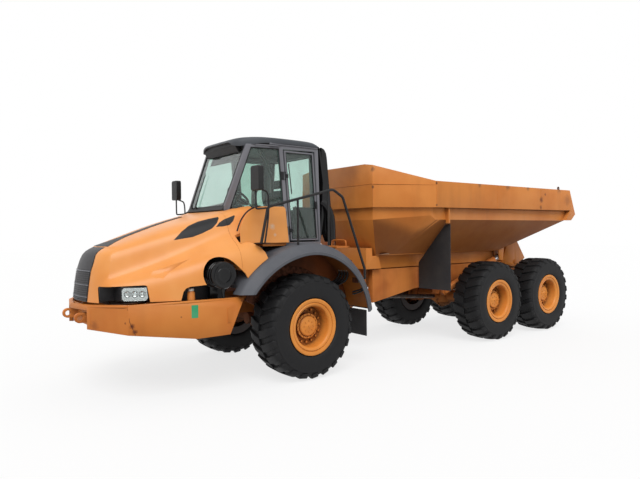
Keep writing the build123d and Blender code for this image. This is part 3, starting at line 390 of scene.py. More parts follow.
@dataclass(frozen=True)
class Pane:
    """Clear glass with a tint and a film of dust."""

    name: str
    tint: Colour
    film: float = 0.12
    roughness: float = 0.03

    def material(self) -> bpy.types.Material:
        """Build the material."""
        graph = Graph.of_material(self.name)
        film = (graph.noise(0.25, 4) * graph.noise(0.03, 4, shift=4.4) * 2 * self.film).clipped()
        clear = graph.node("ShaderNodeBsdfPrincipled", None, {
            "Base Color": paint_tone(*self.tint), "Roughness": self.roughness, "IOR": 1.45,
            "Transmission Weight": 1.0})
        dull = graph.node("ShaderNodeBsdfPrincipled", None, {
            "Base Color": paint_tone(196, 204, 200), "Roughness": 0.8})
        return graph.close(graph.node("ShaderNodeMixShader", None, {0: film, 1: clear, 2: dull}))


class Finish(Enum):
    """Every finish on the truck, with the record's slot that it stands for."""

    HOOD = ("orange_paint", Enamel("hood_enamel", (236, 158, 84), (228, 144, 66), roughness=0.38, coat=0.2,
        grime_and_shade=0.3, streaks=0.05, dust_top=1.62, dust=0.05, rust=0.04, under=0.3,
        marks=(Mark((1.16, -2.7, 2.24), 0.07, CHIP, 0.7), Mark((1.16, -2.66, 2.12), 0.04, CHIP, 0.6))))
    FRAME = ("orange_paint", Enamel("frame_enamel", (208, 128, 56), (196, 112, 44), roughness=0.5, coat=0.06,
        grime_and_shade=0.45, streaks=0.1, dust_top=0.95, dust=0.12, rust=0.12, under=0.6,
        marks=(Mark((1.03, -4.69, 1.01), 0.05, RUST, 0.95), Mark((1.04, -4.66, 0.94), 0.05, RUST, 0.9),
        Mark((0.98, -4.76, 1.05), 0.022, RUST, 0.8), Mark((1.15, -4.1, 1.08), 0.018, RUST, 1.0),
        Mark((0.55, -5.0, 0.99), 0.1, RUST, 0.4), Mark((1.3, -3.3, 1.24), 0.03, RUST, 0.7))))
    # The two wide near-black marks under the front frame are painted shadow.
    CHASSIS = ("orange_paint", Enamel("chassis_enamel", (216, 132, 62), (186, 104, 46), roughness=0.6,
        coat=0.0, grime_and_shade=0.7, dust_top=1.0, rust=0.3, under=0.6, marks=(Mark((0.5, -3.4, 0.9), 1.0, SOOT_AND_SHADE, 0.9),
        Mark((-0.7, -3.0, 0.9), 1.2, SOOT_AND_SHADE, 0.9))))
    # The wheel houses and the front axle are darkened as painted shade, with near-black patches of painted
    # shadow.
    HOUSE = ("orange_paint", Enamel("wheel_house_shaded_enamel", (150, 82, 42), (88, 50, 32), roughness=0.7,
        coat=0.0, grime_and_shade=0.9, streaks=0.4, dust_top=1.2, dust=0.3, rust=0.4, under=0.8,
        marks=(Mark((0.9, -3.0, 1.6), 0.8, SOOT_AND_SHADE, 0.95), Mark((-0.9, -3.0, 1.6), 0.8, SOOT_AND_SHADE, 0.95),
        Mark((0.9, -2.6, 1.9), 0.55, SOOT_AND_SHADE, 0.7), Mark((-0.9, -2.6, 1.9), 0.55, SOOT_AND_SHADE, 0.7))))
    BODY = ("body_paint", Enamel("body_enamel", (218, 136, 62), (206, 122, 50), roughness=0.5, coat=0.05,
        grime_and_shade=0.5, streaks=0.14, dust=0.1, rust=0.3, under=0.6,
        marks=(Mark((0.45, -0.61, 3.25), 0.42, SOOT_AND_SHADE, 0.25), Mark((-0.1, -0.61, 3.1), 0.8, SOOT_AND_SHADE, 0.2),
        Mark((0.3, -0.61, 2.45), 0.6, SOOT_AND_SHADE, 0.1), Mark((1.0, -0.61, 2.9), 0.045, SOOT_AND_SHADE, 0.9),
        Mark((1.0, -0.61, 3.2), 0.07, SOOT_AND_SHADE, 0.6), Mark((1.45, 0.49, 2.98), 0.035, SOOT_AND_SHADE, 0.9),
        Mark((1.45, 0.49, 2.6), 0.035, SOOT_AND_SHADE, 0.7), Mark((1.45, 3.8, 2.78), 0.1, RUST, 0.8),
        Mark((1.45, 3.95, 2.9), 0.05, RUST, 0.8), Mark((1.45, 3.78, 2.62), 0.07, RUST, 0.7),
        Mark((1.45, 4.85, 2.8), 0.2, RUST, 0.4), Mark((0.98, -0.55, 2.44), 0.035, RUST, 1.0),
        Mark((1.45, 1.7, 3.01), 0.09, SOOT_AND_SHADE, 0.5), Mark((1.45, 2.6, 3.01), 0.12, SOOT_AND_SHADE, 0.5),
        Mark((1.45, 3.3, 3.01), 0.1, SOOT_AND_SHADE, 0.5), Mark((1.4, 4.5, 3.01), 0.14, SOOT_AND_SHADE, 0.5))))
    LOAD = ("body_paint", Enamel("scoured_floor", (150, 92, 50), (96, 70, 56), roughness=0.55, coat=0.0,
        grime_and_shade=0.5, streaks=0.6, dust_top=9.0, dust=0.55, rust=0.8, under=0.0))
    # The rims' inboard parts are darkened as painted shade.
    RIM = ("rim_paint", Enamel("rim_enamel", (232, 150, 66), (220, 134, 52), roughness=0.45, coat=0.1,
        grime_and_shade=0.9, streaks=0.08, dust_top=0.5, dust=0.12, rust=0.25, under=0.2, inboard_shade=1.08))
    CHARCOAL = ("charcoal_paint", Moulded("charcoal_enamel", (116, 116, 122), (140, 141, 144), roughness=0.42,
        grain=0.02, depth=0.0003, dust=0.3))
    ROOF = ("charcoal_paint", Moulded("roof_shell", (70, 73, 78), (90, 94, 98), roughness=0.5, grain=0.01,
        depth=0.0004, dust=0.45))
    FENDER = ("fender_plastic", Moulded("fender_moulding", (82, 84, 90), (116, 116, 119), roughness=0.58,
        grain=0.006, depth=0.0004, dust=0.4))
    TRIM = ("trim_plastic", Moulded("black_trim", (24, 24, 26), (58, 56, 54), roughness=0.5, depth=0.0005,
        dust=0.35))
    GRILLE = ("trim_plastic", Moulded("grille_moulding", (52, 51, 54), (80, 76, 74), roughness=0.5,
        depth=0.0005, dust=0.4))
    GLOSS = ("gloss_plastic", Moulded("gloss_black", (13, 13, 15), (44, 43, 42), roughness=0.18, grain=0.03,
        depth=0.0002, dust=0.2))
    TYRE = ("tyre_rubber", Moulded("tyre_tread", (14, 14, 16), (40, 39, 39), roughness=0.68, grain=0.008,
        depth=0.0012, dust=0.35))
    FLAP = ("flap_rubber", Moulded("flap_sheet", (44, 44, 46), (84, 78, 72), roughness=0.7, grain=0.012,
        depth=0.0012, dust=0.35))
    GLASS = ("window_glass", Pane("cab_glass", (236, 248, 245), film=0.06))
    SIDE_GLASS = ("window_glass", Pane("side_glass", (196, 222, 212), film=0.08))
    LENS = ("lamp_lens", Pane("lamp_glass", (240, 242, 240), film=0.06))
    MIRROR = ("mirror_glass", BareMetal("mirror_face", (215, 220, 222), (140, 138, 132), roughness=0.08,
        dirt_and_shade_share=0.08))
    CAST = ("cast_metal", BareMetal("cast_iron", (92, 84, 78), (70, 46, 32), roughness=0.6, dirt_and_shade_share=0.75,
        metallic=0.6))
    CHROME = ("chrome_rod", BareMetal("ground_rod", (206, 206, 208), (96, 80, 66), roughness=0.14, dirt_and_shade_share=0.2))
    STEEL = ("bare_steel", BareMetal("zinc_steel", (178, 172, 160), (110, 84, 60), roughness=0.4))
    RUSTY = ("bare_steel", BareMetal("rusted_steel", (120, 72, 48), (74, 40, 26), roughness=0.7, dirt_and_shade_share=0.9,
        metallic=0.3))
    SEAT = ("seat_fabric", Moulded("seat_cloth", (52, 54, 60), (90, 88, 86), roughness=0.9, grain=0.0025,
        depth=0.001, dust=0.4, sheen=0.3))
    STICKER = ("trim_plastic", Moulded("green_sticker", (40, 156, 104), (120, 178, 140), roughness=0.5,
        grain=0.01, depth=0.0001))
    YELLOW = ("trim_plastic", Moulded("yellow_cap", (222, 190, 70), (170, 140, 90), roughness=0.5,
        grain=0.006, depth=0.0003))
    WHITE = ("trim_plastic", Moulded("white_cap", (226, 222, 214), (196, 176, 150), roughness=0.45,
        grain=0.006, depth=0.0003, dust=0.4))

    @property
    def slot(self) -> str:
        """The record's material slot."""
        return self.value[0]

    @property
    def material(self) -> bpy.types.Material:
        """The material, made the first time it is asked for."""
        recipe = self.value[1]
        return bpy.data.materials.get(recipe.name) or recipe.material()


# ---------------------------------------------------------------- modelling
Verts = list[bmesh.types.BMVert]
Modify = Callable[[bpy.types.Object], None]


def mirrored(half: Sequence[Point]) -> list[Point]:
    """An outline made of its half on one side and that half's mirror image."""
    return [*half, *[(-x, *rest) for x, *rest in reversed(half)]]


class Form:
    """A mesh being built with bmesh operators, in the truck's own frame."""

    def __init__(self, mesh: bpy.types.Mesh | None = None) -> None:
        """Start empty or from a finished mesh."""
        self.mesh = bmesh.new()
        if mesh:
            self.mesh.from_mesh(mesh)

    # shapes
    def block(self, x: Point, y: Point, z: Point) -> Verts:
        """Add a box.

        Args:
            x: Its lowest and highest place on X.
            y: The same on Y.
            z: The same on Z.

        Returns:
            The new vertices.
        """
        low, high = Vector((x[0], y[0], z[0])), Vector((x[1], y[1], z[1]))
        place = Matrix.Translation((low + high) / 2) @ Matrix.Diagonal((*(high - low), 1))
        return bmesh.ops.create_cube(self.mesh, size=1, matrix=place)["verts"]

    def rod(self, start: Point, end: Point, radius: float, sides: int = 20,
            tip: float | None = None) -> Verts:
        """Add a round bar or a cone between two points.

        Args:
            start: Middle of the first end.
            end: Middle of the second end.
            radius: Radius of the first end.
            sides: Number of flats round it.
            tip: Radius of the second end, if it differs.

        Returns:
            The new vertices.
        """
        path = Vector(end) - Vector(start)
        turn = path.to_track_quat("Z", "Y").to_matrix().to_4x4()
        place = Matrix.Translation((Vector(start) + Vector(end)) / 2) @ turn
        return bmesh.ops.create_cone(self.mesh, cap_ends=True, segments=sides, radius1=radius, radius2=radius
                                     if tip is None else tip, depth=path.length, matrix=place)["verts"]

    def ball(self, centre: Point, size: Point, rings: int = 12) -> Verts:
        """Add an ellipsoid with three half-lengths."""
        place = Matrix.Translation(Vector(centre)) @ Matrix.Diagonal((*size, 1))
        return bmesh.ops.create_uvsphere(self.mesh, u_segments=rings * 2, v_segments=rings, radius=1,
                                         matrix=place)["verts"]

    def chain(self, points: Iterable[Point], closed: bool) -> tuple[Verts, list[bmesh.types.BMEdge]]:
        """Add a line of vertices joined by edges.

        Args:
            points: Their places.
            closed: Whether the last is joined to the first.

        Returns:
            The new vertices and edges.
        """
        verts = [self.mesh.verts.new(point) for point in points]
        pairs = list(zip(verts, verts[1:])) + ([(verts[-1], verts[0])] if closed else [])
        return verts, [self.mesh.edges.new(pair) for pair in pairs]

    def slab(self, outline: Sequence[Point], axis: int, low: float, high: float) -> Verts:
        """Add a flat plate with an outline across one axis.

        Args:
            outline: Corners as pairs of the two other coordinates, in their usual order.
            axis: 0, 1 or 2 for a thickness along X, Y or Z.
            low: Where it starts on that axis.
            high: Where it ends on that axis.

        Returns:
            The new vertices.
        """
        corners = [list(pair[:axis]) + [low] + list(pair[axis:]) for pair in outline]
        verts, _ = self.chain(corners, True)
        face = bmesh.ops.contextual_create(self.mesh, geom=verts)["faces"]
        grown = bmesh.ops.extrude_face_region(self.mesh, geom=face)["geom"]
        new = [item for item in grown if isinstance(item, bmesh.types.BMVert)]
        step = [0, 0, 0]
        step[axis] = high - low
        bmesh.ops.translate(self.mesh, vec=step, verts=new)
        return verts + new

    def lathe(self, profile: Sequence[Point], centre: Point, axis: Vector, steps: int = 64,
              arc: float = math.tau, closed: bool = True, start: Vector | None = None) -> Verts:
        """Spin a profile of (distance along the axis, radius) pairs round an axis.

        Args:
            profile: The pairs.
            centre: Where the axis starts.
            axis: The axis, of length 1.
            steps: Number of steps round.
            arc: Angle that is covered.
            closed: Whether the profile is a loop.
            start: Direction of the radius that the spin starts from, if it matters.

        Returns:
            The new vertices.
        """
        before = set(self.mesh.verts)
        spoke = start or (ACROSS if abs(axis.z) > 0.5 else UP)
        verts, edges = self.chain([Vector(centre) + axis * a + spoke * r for a, r in profile], closed)
        full = abs(arc - math.tau) < 1e-6
        bmesh.ops.spin(self.mesh, geom=verts + edges, cent=centre, axis=axis, angle=arc, steps=steps,
                       use_merge=full)
        new = [vert for vert in self.mesh.verts if vert not in before]
        bmesh.ops.remove_doubles(self.mesh, verts=new, dist=MERGE_GAP)
        return [vert for vert in self.mesh.verts if vert not in before]

    def sleeve(self, rows: Sequence[Sequence[Point]], closed: bool = True) -> Verts:
        """Stretch one row of points into the next, as a lofted skin.

        Args:
            rows: Rows with the same number of points.
            closed: Whether each row is a loop; the first and the last then get a face.

        Returns:
            The new vertices.
        """
        verts, edges = self.chain(rows[0], closed)
        made = list(verts)
        first, row_edges = list(edges), edges
        for row in rows[1:]:
            places = {tuple(vert.co): Vector(point) for vert, point in zip(verts, row)}
            grown = bmesh.ops.extrude_edge_only(self.mesh, edges=row_edges)["geom"]
            fresh = [item for item in grown if isinstance(item, bmesh.types.BMVert)]
            row_edges = [item for item in grown if isinstance(item, bmesh.types.BMEdge)]
            by_point = {tuple(vert.co): vert for vert in fresh}
            verts = [by_point[tuple(vert.co)] for vert in verts]
            for vert in verts:
                vert.co = places[tuple(vert.co)]
            made += verts
        if closed:
            bmesh.ops.edgeloop_fill(self.mesh, edges=first)
            bmesh.ops.edgeloop_fill(self.mesh, edges=row_edges)
        return made

    def pipe(self, points: Sequence[Point], radius: float, sides: int = 10, straight: bool = False) -> None:
        """Add a round hose or tube along a smooth line.

        Args:
            points: Places that steer the line.
            radius: Radius of the tube.
            sides: Number of flats round it.
            straight: Whether the runs between the points stay straight.
        """
        curve = bpy.data.curves.new("line", "CURVE")
        curve.dimensions = "3D"
        curve.bevel_depth = radius
        curve.bevel_resolution = max(0, sides // 2 - 2)
        curve.use_fill_caps = True
        spline = curve.splines.new("POLY" if straight else "NURBS")
        spline.points.add(len(points) - 1)
        for control, point in zip(spline.points, points):
            control.co = (*point, 1)
        if not straight:
            spline.order_u = 3
            spline.use_endpoint_u = True
            spline.resolution_u = 8
        carrier = bpy.data.objects.new("line", curve)
        mesh = bpy.data.meshes.new_from_object(carrier)
        self.mesh.from_mesh(mesh)
        bpy.data.objects.remove(carrier)
        bpy.data.curves.remove(curve)
        bpy.data.meshes.remove(mesh)

    def bolts(self, centre: Point, axis: Vector, ring: float, count: int, radius: float, height: float,
              sides: int = 6) -> None:
        """Add a ring of bolt heads that stand on the plane through a centre.

        Args:
            centre: Middle of the ring.
            axis: Direction in which the heads stand.
            ring: Radius of the ring.
            count: Number of bolts.
            radius: Radius of a head.
            height: Height of a head.
            sides: Flats of a head.
        """
        spoke = axis.orthogonal().normalized()
        for turn in range(count):
            place = Vector(centre) + Matrix.Rotation(math.tau * turn / count, 3, axis) @ spoke * ring
            self.rod(place - axis * 0.002, place + axis * height, radius, sides)

    # changes
    def move(self, verts: Verts, matrix: Matrix, centre: Point = (0, 0, 0)) -> None:
        """Transform vertices about a centre."""
        bmesh.ops.transform(self.mesh, matrix=matrix, verts=verts, space=Matrix.Translation(-Vector(centre)))

    def tilt(self, verts: Verts, degrees: float, axis: Vector, centre: Point) -> None:
        """Turn vertices about an axis through a centre."""
        bmesh.ops.rotate(self.mesh, cent=centre, matrix=Matrix.Rotation(math.radians(degrees), 3, axis),
                         verts=verts)

    def both_sides(self) -> "Form":
        """Add the mirror image across the middle plane of the truck."""
        geometry = bmesh.ops.duplicate(self.mesh, geom=[*self.mesh.verts, *self.mesh.edges, *self.mesh.faces])
        verts = [item for item in geometry["geom"] if isinstance(item, bmesh.types.BMVert)]
        faces = [item for item in geometry["geom"] if isinstance(item, bmesh.types.BMFace)]
        bmesh.ops.scale(self.mesh, vec=(-1, 1, 1), verts=verts)
        bmesh.ops.reverse_faces(self.mesh, faces=faces)
        return self

    def close_ends(self) -> "Form":
        """Fill every open loop of the mesh."""
        edges = [edge for edge in self.mesh.edges if edge.is_boundary]
        bmesh.ops.holes_fill(self.mesh, edges=edges, sides=0)
        return self

    def cut_by(self, cutters: Iterable["Form"]) -> "Form":
        """Cut several forms out of this one, in turn."""
        for cutter in cutters:
            self.without(cutter)
        return self

    def slice(self, point: Point, normal: Point) -> "Form":
        """Cut away what lies in front of a plane and close the cut.

        Args:
            point: A place on the plane.
            normal: Direction in which it faces.

        Returns:
            This form.
        """
        geometry = [*self.mesh.verts, *self.mesh.edges, *self.mesh.faces]
        cut = bmesh.ops.bisect_plane(self.mesh, geom=geometry, dist=CUT_GAP, plane_co=point, plane_no=normal,
                                     clear_outer=True)["geom_cut"]
        edges = [item for item in cut if isinstance(item, bmesh.types.BMEdge)]
        if edges:
            bmesh.ops.holes_fill(self.mesh, edges=edges, sides=0)
        return self

    def through(self, *steps: Modify) -> "Form":
        """Run the mesh through modifiers and keep the result.

        Args:
            steps: Functions that add a modifier to an object.

        Returns:
            This form.
        """
        carrier = self.as_object("carrier")
        for step in steps:
            step(carrier)
        graph = bpy.context.evaluated_depsgraph_get()
        result = bpy.data.meshes.new_from_object(carrier.evaluated_get(graph), depsgraph=graph)
        self.mesh.clear()
        self.mesh.from_mesh(result)
        bpy.data.objects.remove(carrier)
        return self

    def smoothed(self, levels: int = 2) -> "Form":
        """Round the whole mesh off as a subdivision surface."""
        def step(carrier: bpy.types.Object) -> None:
            """Add the subdivision."""
            surface = carrier.modifiers.new("round", "SUBSURF")
            surface.levels = surface.render_levels = levels

        return self.through(step)

    def walled(self, thickness: float) -> "Form":
        """Give an open skin a wall inwards."""
        def step(carrier: bpy.types.Object) -> None:
            """Add the wall."""
            wall = carrier.modifiers.new("wall", "SOLIDIFY")
            wall.thickness = thickness
            wall.offset = -1

        return self.through(step)

    def tapered(self, start: float = -2.25, reach: float = 1.005, narrow: float = 0.19,
                back: float = 0.065) -> "Form":
        """Draw the cab's front in, as its sides close in ahead of the doors.

        Args:
            start: Place along the truck from which it narrows.
            reach: Length over which it narrows.
            narrow: Share of the half width that is lost at the front.
            back: How far the front moves back.

        Returns:
            This form.
        """
        geometry = [*self.mesh.verts, *self.mesh.edges, *self.mesh.faces]
        bmesh.ops.bisect_plane(self.mesh, geom=geometry, dist=CUT_GAP, plane_co=(0, start, 0),
                               plane_no=LENGTHWISE)
        for vert in self.mesh.verts:
            share = max(0.0, (start - vert.co.y) / reach)
            vert.co.x *= 1 - narrow * share
            vert.co.y += back * share
        return self

    def without(self, other: "Form", operation: str = "DIFFERENCE") -> "Form":
        """Cut another form out of this one, or keep what they share.

        Args:
            other: The other closed form.
            operation: DIFFERENCE, or INTERSECT to keep the shared part.

        Returns:
            This form.
        """
        bmesh.ops.recalc_face_normals(self.mesh, faces=self.mesh.faces)
        bmesh.ops.recalc_face_normals(other.mesh, faces=other.mesh.faces)
        cutter = other.as_object("cutter")

        def step(carrier: bpy.types.Object) -> None:
            """Add the cut."""
            cut = carrier.modifiers.new("cut", "BOOLEAN")
            cut.operation = operation
            cut.solver = "EXACT"
            cut.object = cutter

        self.through(step)
        bpy.data.objects.remove(cutter)
        return self

    def copy(self) -> "Form":
        """A separate form with the same mesh."""
        twin = Form()
        twin.mesh = self.mesh.copy()
        return twin

    def take(self, other: "Form") -> "Form":
        """Add another form's mesh to this one."""
        mesh = bpy.data.meshes.new("given")
        other.mesh.to_mesh(mesh)
        self.mesh.from_mesh(mesh)
        bpy.data.meshes.remove(mesh)
        return self

    # output
    def as_object(self, name: str) -> bpy.types.Object:
        """Put the mesh in the scene as an object at the origin."""
        mesh = bpy.data.meshes.new(name)
        self.mesh.to_mesh(mesh)
        made = bpy.data.objects.new(name, mesh)
        bpy.context.scene.collection.objects.link(made)
        return made

    def finish(self, name: str, rider: str, finish: Finish, bevel: float = 0.0, sharp: float = 35.0,
               replaces: Sequence[str] = (), turn_out: bool = True) -> bpy.types.Object:
        """Turn the mesh into a finished piece that moves with a body.

        Args:
            name: The piece's name.
            rider: The body that it moves with.
            finish: What it is made of.
            bevel: Width of its rounded edges in metres.
            sharp: Angle in degrees from which an edge shows as a crease.
            replaces: Construction nodes that it stands for.
            turn_out: Whether its faces are turned outwards here.

        Returns:
            The piece's object.
        """
        bmesh.ops.remove_doubles(self.mesh, verts=self.mesh.verts, dist=MERGE_GAP)
        if turn_out:
            bmesh.ops.recalc_face_normals(self.mesh, faces=self.mesh.faces)
        for face in self.mesh.faces:
            face.smooth = True
        for edge in self.mesh.edges:
            edge.smooth = bool(bevel) or edge.calc_face_angle(0) < math.radians(sharp)
        piece = self.as_object(name)
        piece.data.materials.append(finish.material)
        if bevel:
            rounded = piece.modifiers.new("rounded_edges", "BEVEL")
            rounded.width = bevel
            rounded.segments = 2
            rounded.limit_method = "ANGLE"
            rounded.angle_limit = math.radians(sharp)
            rounded.harden_normals = True
            rounded.use_clamp_overlap = True
        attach(piece, rider)
        if replaces:
            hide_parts(*replaces)
        LOG.info("%s: %d faces", name, len(piece.data.polygons))
        return piece


def node_form(node: str) -> Form:
    """A merged copy of a construction node's mesh, with its flat areas joined up."""
    copy = Form(FRAME["nodes"][node].data)
    bmesh.ops.remove_doubles(copy.mesh, verts=copy.mesh.verts, dist=MERGE_GAP)
    bmesh.ops.dissolve_limit(copy.mesh, angle_limit=math.radians(0.4), verts=copy.mesh.verts,
                             edges=copy.mesh.edges)
    return copy


def softened(node: str, rider: str, finish: Finish, bevel: float = 0.004,
             taper: bool = False) -> bpy.types.Object:
    """Stand a construction node's own shape in the scene with rounded edges."""
    form = node_form(node).tapered() if taper else node_form(node)
    return form.finish(f"{node}_shell", rider, finish, bevel, SMOOTH_SHELL, (node,), turn_out=False)


def leant(form: Form, reach: float = 0.105, high: float = 75, span: float = 48) -> Form:
    """Lean the front of an arch over the front wheel forwards.

    Args:
        form: The arch.
        reach: How far its lowest part moves.
        high: Angle over the axle, in degrees, from which the lean starts.
        span: Angle over which it grows to the full reach.

    Returns:
        The same form.
    """
    for vert in form.mesh.verts:
        angle = math.degrees(math.atan2(vert.co.z - AXLE_Z, FRONT_AXLE_Y - vert.co.y))
        vert.co.y -= reach * min(1.0, max(0.0, (high - angle) / span))
    return form


# ---------------------------------------------------------------- wheels
@dataclass
class Wheel:
    """One wheel: a lugged tyre and its dished rim."""

    place: str
    hand: str
    axle_y: float
    half_track: float = 1.14
    axle_z: float = AXLE_Z
    lug_pairs: int = 23
    studs: int = 16

    @property
    def side(self) -> int:
        """1 on the left and -1 on the right."""
        return 1 if self.hand == "left" else -1

    @property
    def centre(self) -> Vector:
        """Middle of the wheel."""
        return Vector((self.side * self.half_track, self.axle_y, self.axle_z))

    def build(self) -> None:
        """Build the tyre and the rim."""
        name, rider = f"{self.place}_{self.hand}", f"wheel_{self.place}_{self.hand}"
        self.tyre().finish(f"tyre_{name}_tread", rider, Finish.TYRE, 0.005, 40, (f"tyre_{name}",))
        self.rim().finish(f"rim_{name}_disc", rider, Finish.RIM, 0, 40, (f"rim_{name}",))

    def tyre(self) -> Form:
        """The carcass with two staggered rows of shoulder lugs."""
        form = Form()
        half = [(0.215, 0.3185), (0.239, 0.3185), (0.247, 0.345), (0.247, 0.412), (0.262, 0.424),
                (0.28, 0.436), (0.29, 0.462), (0.296, 0.505), (0.298, 0.56), (0.296, 0.6), (0.2925, 0.64),
                (0.2935, 0.646), (0.2935, 0.656), (0.2885, 0.661), (0.284, 0.676), (0.272, 0.7),
                (0.25, 0.718), (0.19, 0.729), (0.1, 0.734)]
        form.lathe(mirrored(half), self.centre, ACROSS, 72)
        # distance from the middle, lowest and highest radius, start and end along the tread
        stations = [(0.01, 0.726, 0.7665, -0.072, 0.058), (0.1, 0.725, 0.7655, -0.052, 0.082),
                    (0.19, 0.718, 0.757, -0.016, 0.12), (0.252, 0.703, 0.744, 0.006, 0.136),
                    (0.28, 0.684, 0.722, 0.014, 0.132), (0.293, 0.664, 0.69, 0.024, 0.12)]
        for hand in (1, -1):
            for lug in range(self.lug_pairs):
                angle = math.tau * (lug + (0.5 if hand < 0 else 0)) / self.lug_pairs
                rows = [[(hand * a, s, r) for s, r in ((start, low), (end, low), (end - 0.01, high),
                                                       (start + 0.01, high))] for a, low, high, start,
                        end in stations]
                verts = form.sleeve(rows)
                form.move(verts, Matrix.Translation(self.centre) @ Matrix.Rotation(angle, 4, "X"))
        return form

    def rim(self) -> Form:
        """The dished rim with its hub drum, studs, hub bolts and valve."""
        form = Form()
        out = ACROSS * self.side
        profile = [(0.1055, 0), (0.16, 0), (0.16, 0.034), (0.1565, 0.04), (0.1565, 0.118), (0.152, 0.136),
                   (0.14, 0.15), (0.122, 0.156), (0.122, 0.184), (0.116, 0.188), (0.098, 0.188),
                   (0.094, 0.176), (0.066, 0.18), (0.06, 0.196), (0.056, 0.284), (0.07, 0.291),
                   (0.228, 0.294), (0.252, 0.302), (0.268, 0.318), (0.272, 0.34), (0.262, 0.35),
                   (0.262, 0.356), (0.273, 0.362), (0.277, 0.378), (0.28, 0.396), (0.2795, 0.408),
                   (0.276, 0.414), (0.256, 0.414), (0.25, 0.345), (0.24, 0.3185), (-0.24, 0.3185),
                   (-0.25, 0.345), (-0.255, 0.414), (-0.275, 0.414), (-0.275, 0.29), (0.02, 0.29),
                   (0.01, 0.2), (-0.06, 0.2), (-0.06, 0.0902), (0.1055, 0.0902)]
        form.lathe(profile, self.centre, out, 72)
        form.bolts(self.centre + out * 0.058, out, 0.24, self.studs, 0.016, 0.034)
        form.bolts(self.centre + out * 0.122, out, 0.17, self.studs, 0.009, 0.01)
        form.bolts(self.centre + out * 0.1565, out, 0.082, 8, 0.01, 0.008)
        form.bolts(self.centre + out * 0.16, out, 0.0, 1, 0.016, 0.01)
        stem = self.centre + out * 0.16 + UP * 0.275
        form.rod(stem, stem + out * 0.07 - UP * 0.02, 0.007, 10)
        return form


